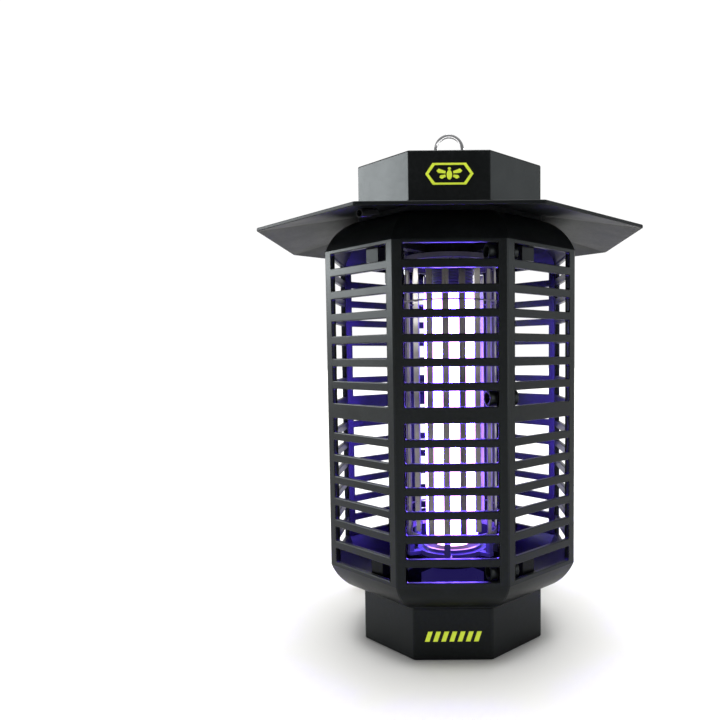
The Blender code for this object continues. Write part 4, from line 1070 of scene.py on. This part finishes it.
def make_gland_boss(black):
    """Short boss on the cage that the strain relief sits in."""
    bore = 0.0046
    low = -0.0010
    profile = rounded_profile([(bore, low), (GLAND_BOSS_RADIUS, low), (GLAND_BOSS_RADIUS, GLAND_BOSS_LENGTH),
                               (bore, GLAND_BOSS_LENGTH)], [0.0, 0.0, 0.0006, 0.0003])
    turned("gland_boss", profile, black, steps=32, place=aim(GLAND_START, gland_direction()), closed=True)


def make_cord(mats):
    make_strain_relief(mats["rubber"])
    make_gland_boss(mats["black"])
    plug = make_plug(mats)
    route = smoothed(drop_points() + coil_points() + tail_points(), 4)
    curve = poly_curve("mains_lead", [route], "3D", mats["rubber"])
    curve.bevel_depth = CORD_RADIUS
    curve.bevel_resolution = 5
    curve.use_fill_caps = True
    curve.splines[0].use_smooth = True
    lead = bpy.data.objects.new("mains_lead", curve)
    place_piece(lead, "zapper", ("mains_cord", "mains_cord_coil", "mains_cord_tail"))


# -------- carried-over CAD nodes
def finish_nodes(mats):
    """Rounded versions of the plainer CAD nodes, and materials for the ones that stay as they are."""
    rounded = {
        "upper_spider": ("gloss", 0.0006), "lower_spider": ("gloss", 0.0006),
        "upper_insulator": ("insulator", 0.0004), "lower_insulator": ("holder", 0.0004),
        "hanger_eye": ("zinc", 0.0006), "cord_guide": ("gloss", 0.0002),
        "transformer": ("ferrite", 0.0008), "terminal_block": ("ferrite", 0.0008),
        "film_capacitor": ("film", 0.0016), "voltage_doubler": ("film", 0.0016),
    }
    for node, (look, rounding) in rounded.items():
        refined(node, mats[look], rounding)
    kept = {
        "grid_live": "steel", "grid_return": "steel", "grid_hoop_upper": "steel", "grid_hoop_lower": "steel",
        "lamp_socket": "insulator", "hanger_nut": "zinc", "lead_live": "zinc", "lead_return": "zinc",
        "circuit_board": "board", "electrolytic_capacitor": "sleeve", "ballast_choke": "copper",
        "inner_lead": "rubber",
    }
    kept.update({f"cap_screw_{index}": "zinc" for index in range(1, 5)})
    for node, look in kept.items():
        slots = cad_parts[node].material_slots
        if not slots:
            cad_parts[node].data.materials.append(mats[look])
        for item in slots:
            item.material = mats[look]


# -------- floor and light
def make_floor():
    """Plain pale sheet, just under the object, with a faint unevenness."""
    color = (0.87, 0.866, 0.848)
    made, look = new_material("floor_paper")
    clouds = look.noise(9.0, 3.0, 0.5)
    look.finish({"Base Color": look.mixed(clouds, color, tuple(channel * 0.985 for channel in color)),
                 "Roughness": 0.6, "Specular IOR Level": 0.1, "Emission Color": (1.0, 1.0, 1.0, 1.0),
                 "Emission Strength": 0.02})
    reach, z = 9.0, -0.0002
    mesh = bpy.data.meshes.new("floor")
    mesh.from_pydata([(-reach, -reach, z), (reach, -reach, z), (reach, reach, z), (-reach, reach, z)],
                     [], [(0, 1, 2, 3)])
    mesh.materials.append(made)
    linked(bpy.data.objects.new("floor", mesh))


def area_light(name, place, target, size, power, color=(1.0, 1.0, 1.0)):
    """Soft box that shines in glossy surfaces only, so that it doesn't light the floor."""
    data = bpy.data.lights.new(name, "AREA")
    data.shape = "RECTANGLE"
    data.size, data.size_y = size
    data.energy = power
    data.color = color
    made = bpy.data.objects.new(name, data)
    made.location = place
    made.rotation_mode = "QUATERNION"
    made.rotation_quaternion = (Vector(target) - Vector(place)).to_track_quat("-Z", "Y")
    made.visible_diffuse = False
    linked(made)


def make_lights():
    cool = (0.95, 0.985, 1.0)
    area_light("key_left", (-1.30, 0.13, 0.60), (0.0, 0.0, 0.28), (1.0, 0.52), 29.0, cool)
    area_light("fill_right", (1.40, -0.10, 0.62), (0.0, 0.0, 0.25), (0.8, 0.6), 5.2, cool)
    area_light("strip_right", (1.00, -0.84, 0.38), (0.0, 0.0, 0.18), (0.12, 0.9), 5.0)
    sun = bpy.data.lights.new("overhead", "SUN")
    sun.energy = 4.0
    sun.angle = math.radians(44.0)
    linked(bpy.data.objects.new("overhead", sun))


def make_backdrop():
    """White behind the object, greyer around it above the horizon, and lighter again overhead."""
    world = bpy.data.worlds.new("studio")
    world.use_nodes = True
    look = Wiring(world.node_tree, "Background")
    height = look.component("Z", "Generated")
    behind = look.ranged(look.component("Y", "Generated"), 0.0, 1.0, 0.30, 0.74)
    around = look.ranged(height, 0.95, 0.20, 0.0, 0.13)
    above = look.ranged(height, 0.0, 0.30, 0.30, 0.85)
    wall = look.nodes.new("ShaderNodeMix")
    wall.data_type = "FLOAT"
    look.feed(wall, {"Factor": behind, "A": around, "B": 1.03})
    look.finish({"Strength": look.maths("ADD", wall.outputs["Result"], above), "Color": (1.0, 1.0, 1.0, 1.0)})
    bpy.context.scene.world = world
    bpy.context.scene.view_settings.view_transform = "Standard"


def build():
    make_camera()
    materials = make_materials()
    make_cord(materials)
    make_cage(materials)
    make_brim(materials["brim"])
    make_cap(materials["black"])
    make_split_ring(materials["chrome"])
    make_tray(materials["black"])
    make_lamp(materials)
    make_cap_mark(materials["lime"])
    make_base_mark(materials["lime"])
    finish_nodes(materials)
    make_floor()
    make_lights()
    make_backdrop()


build()
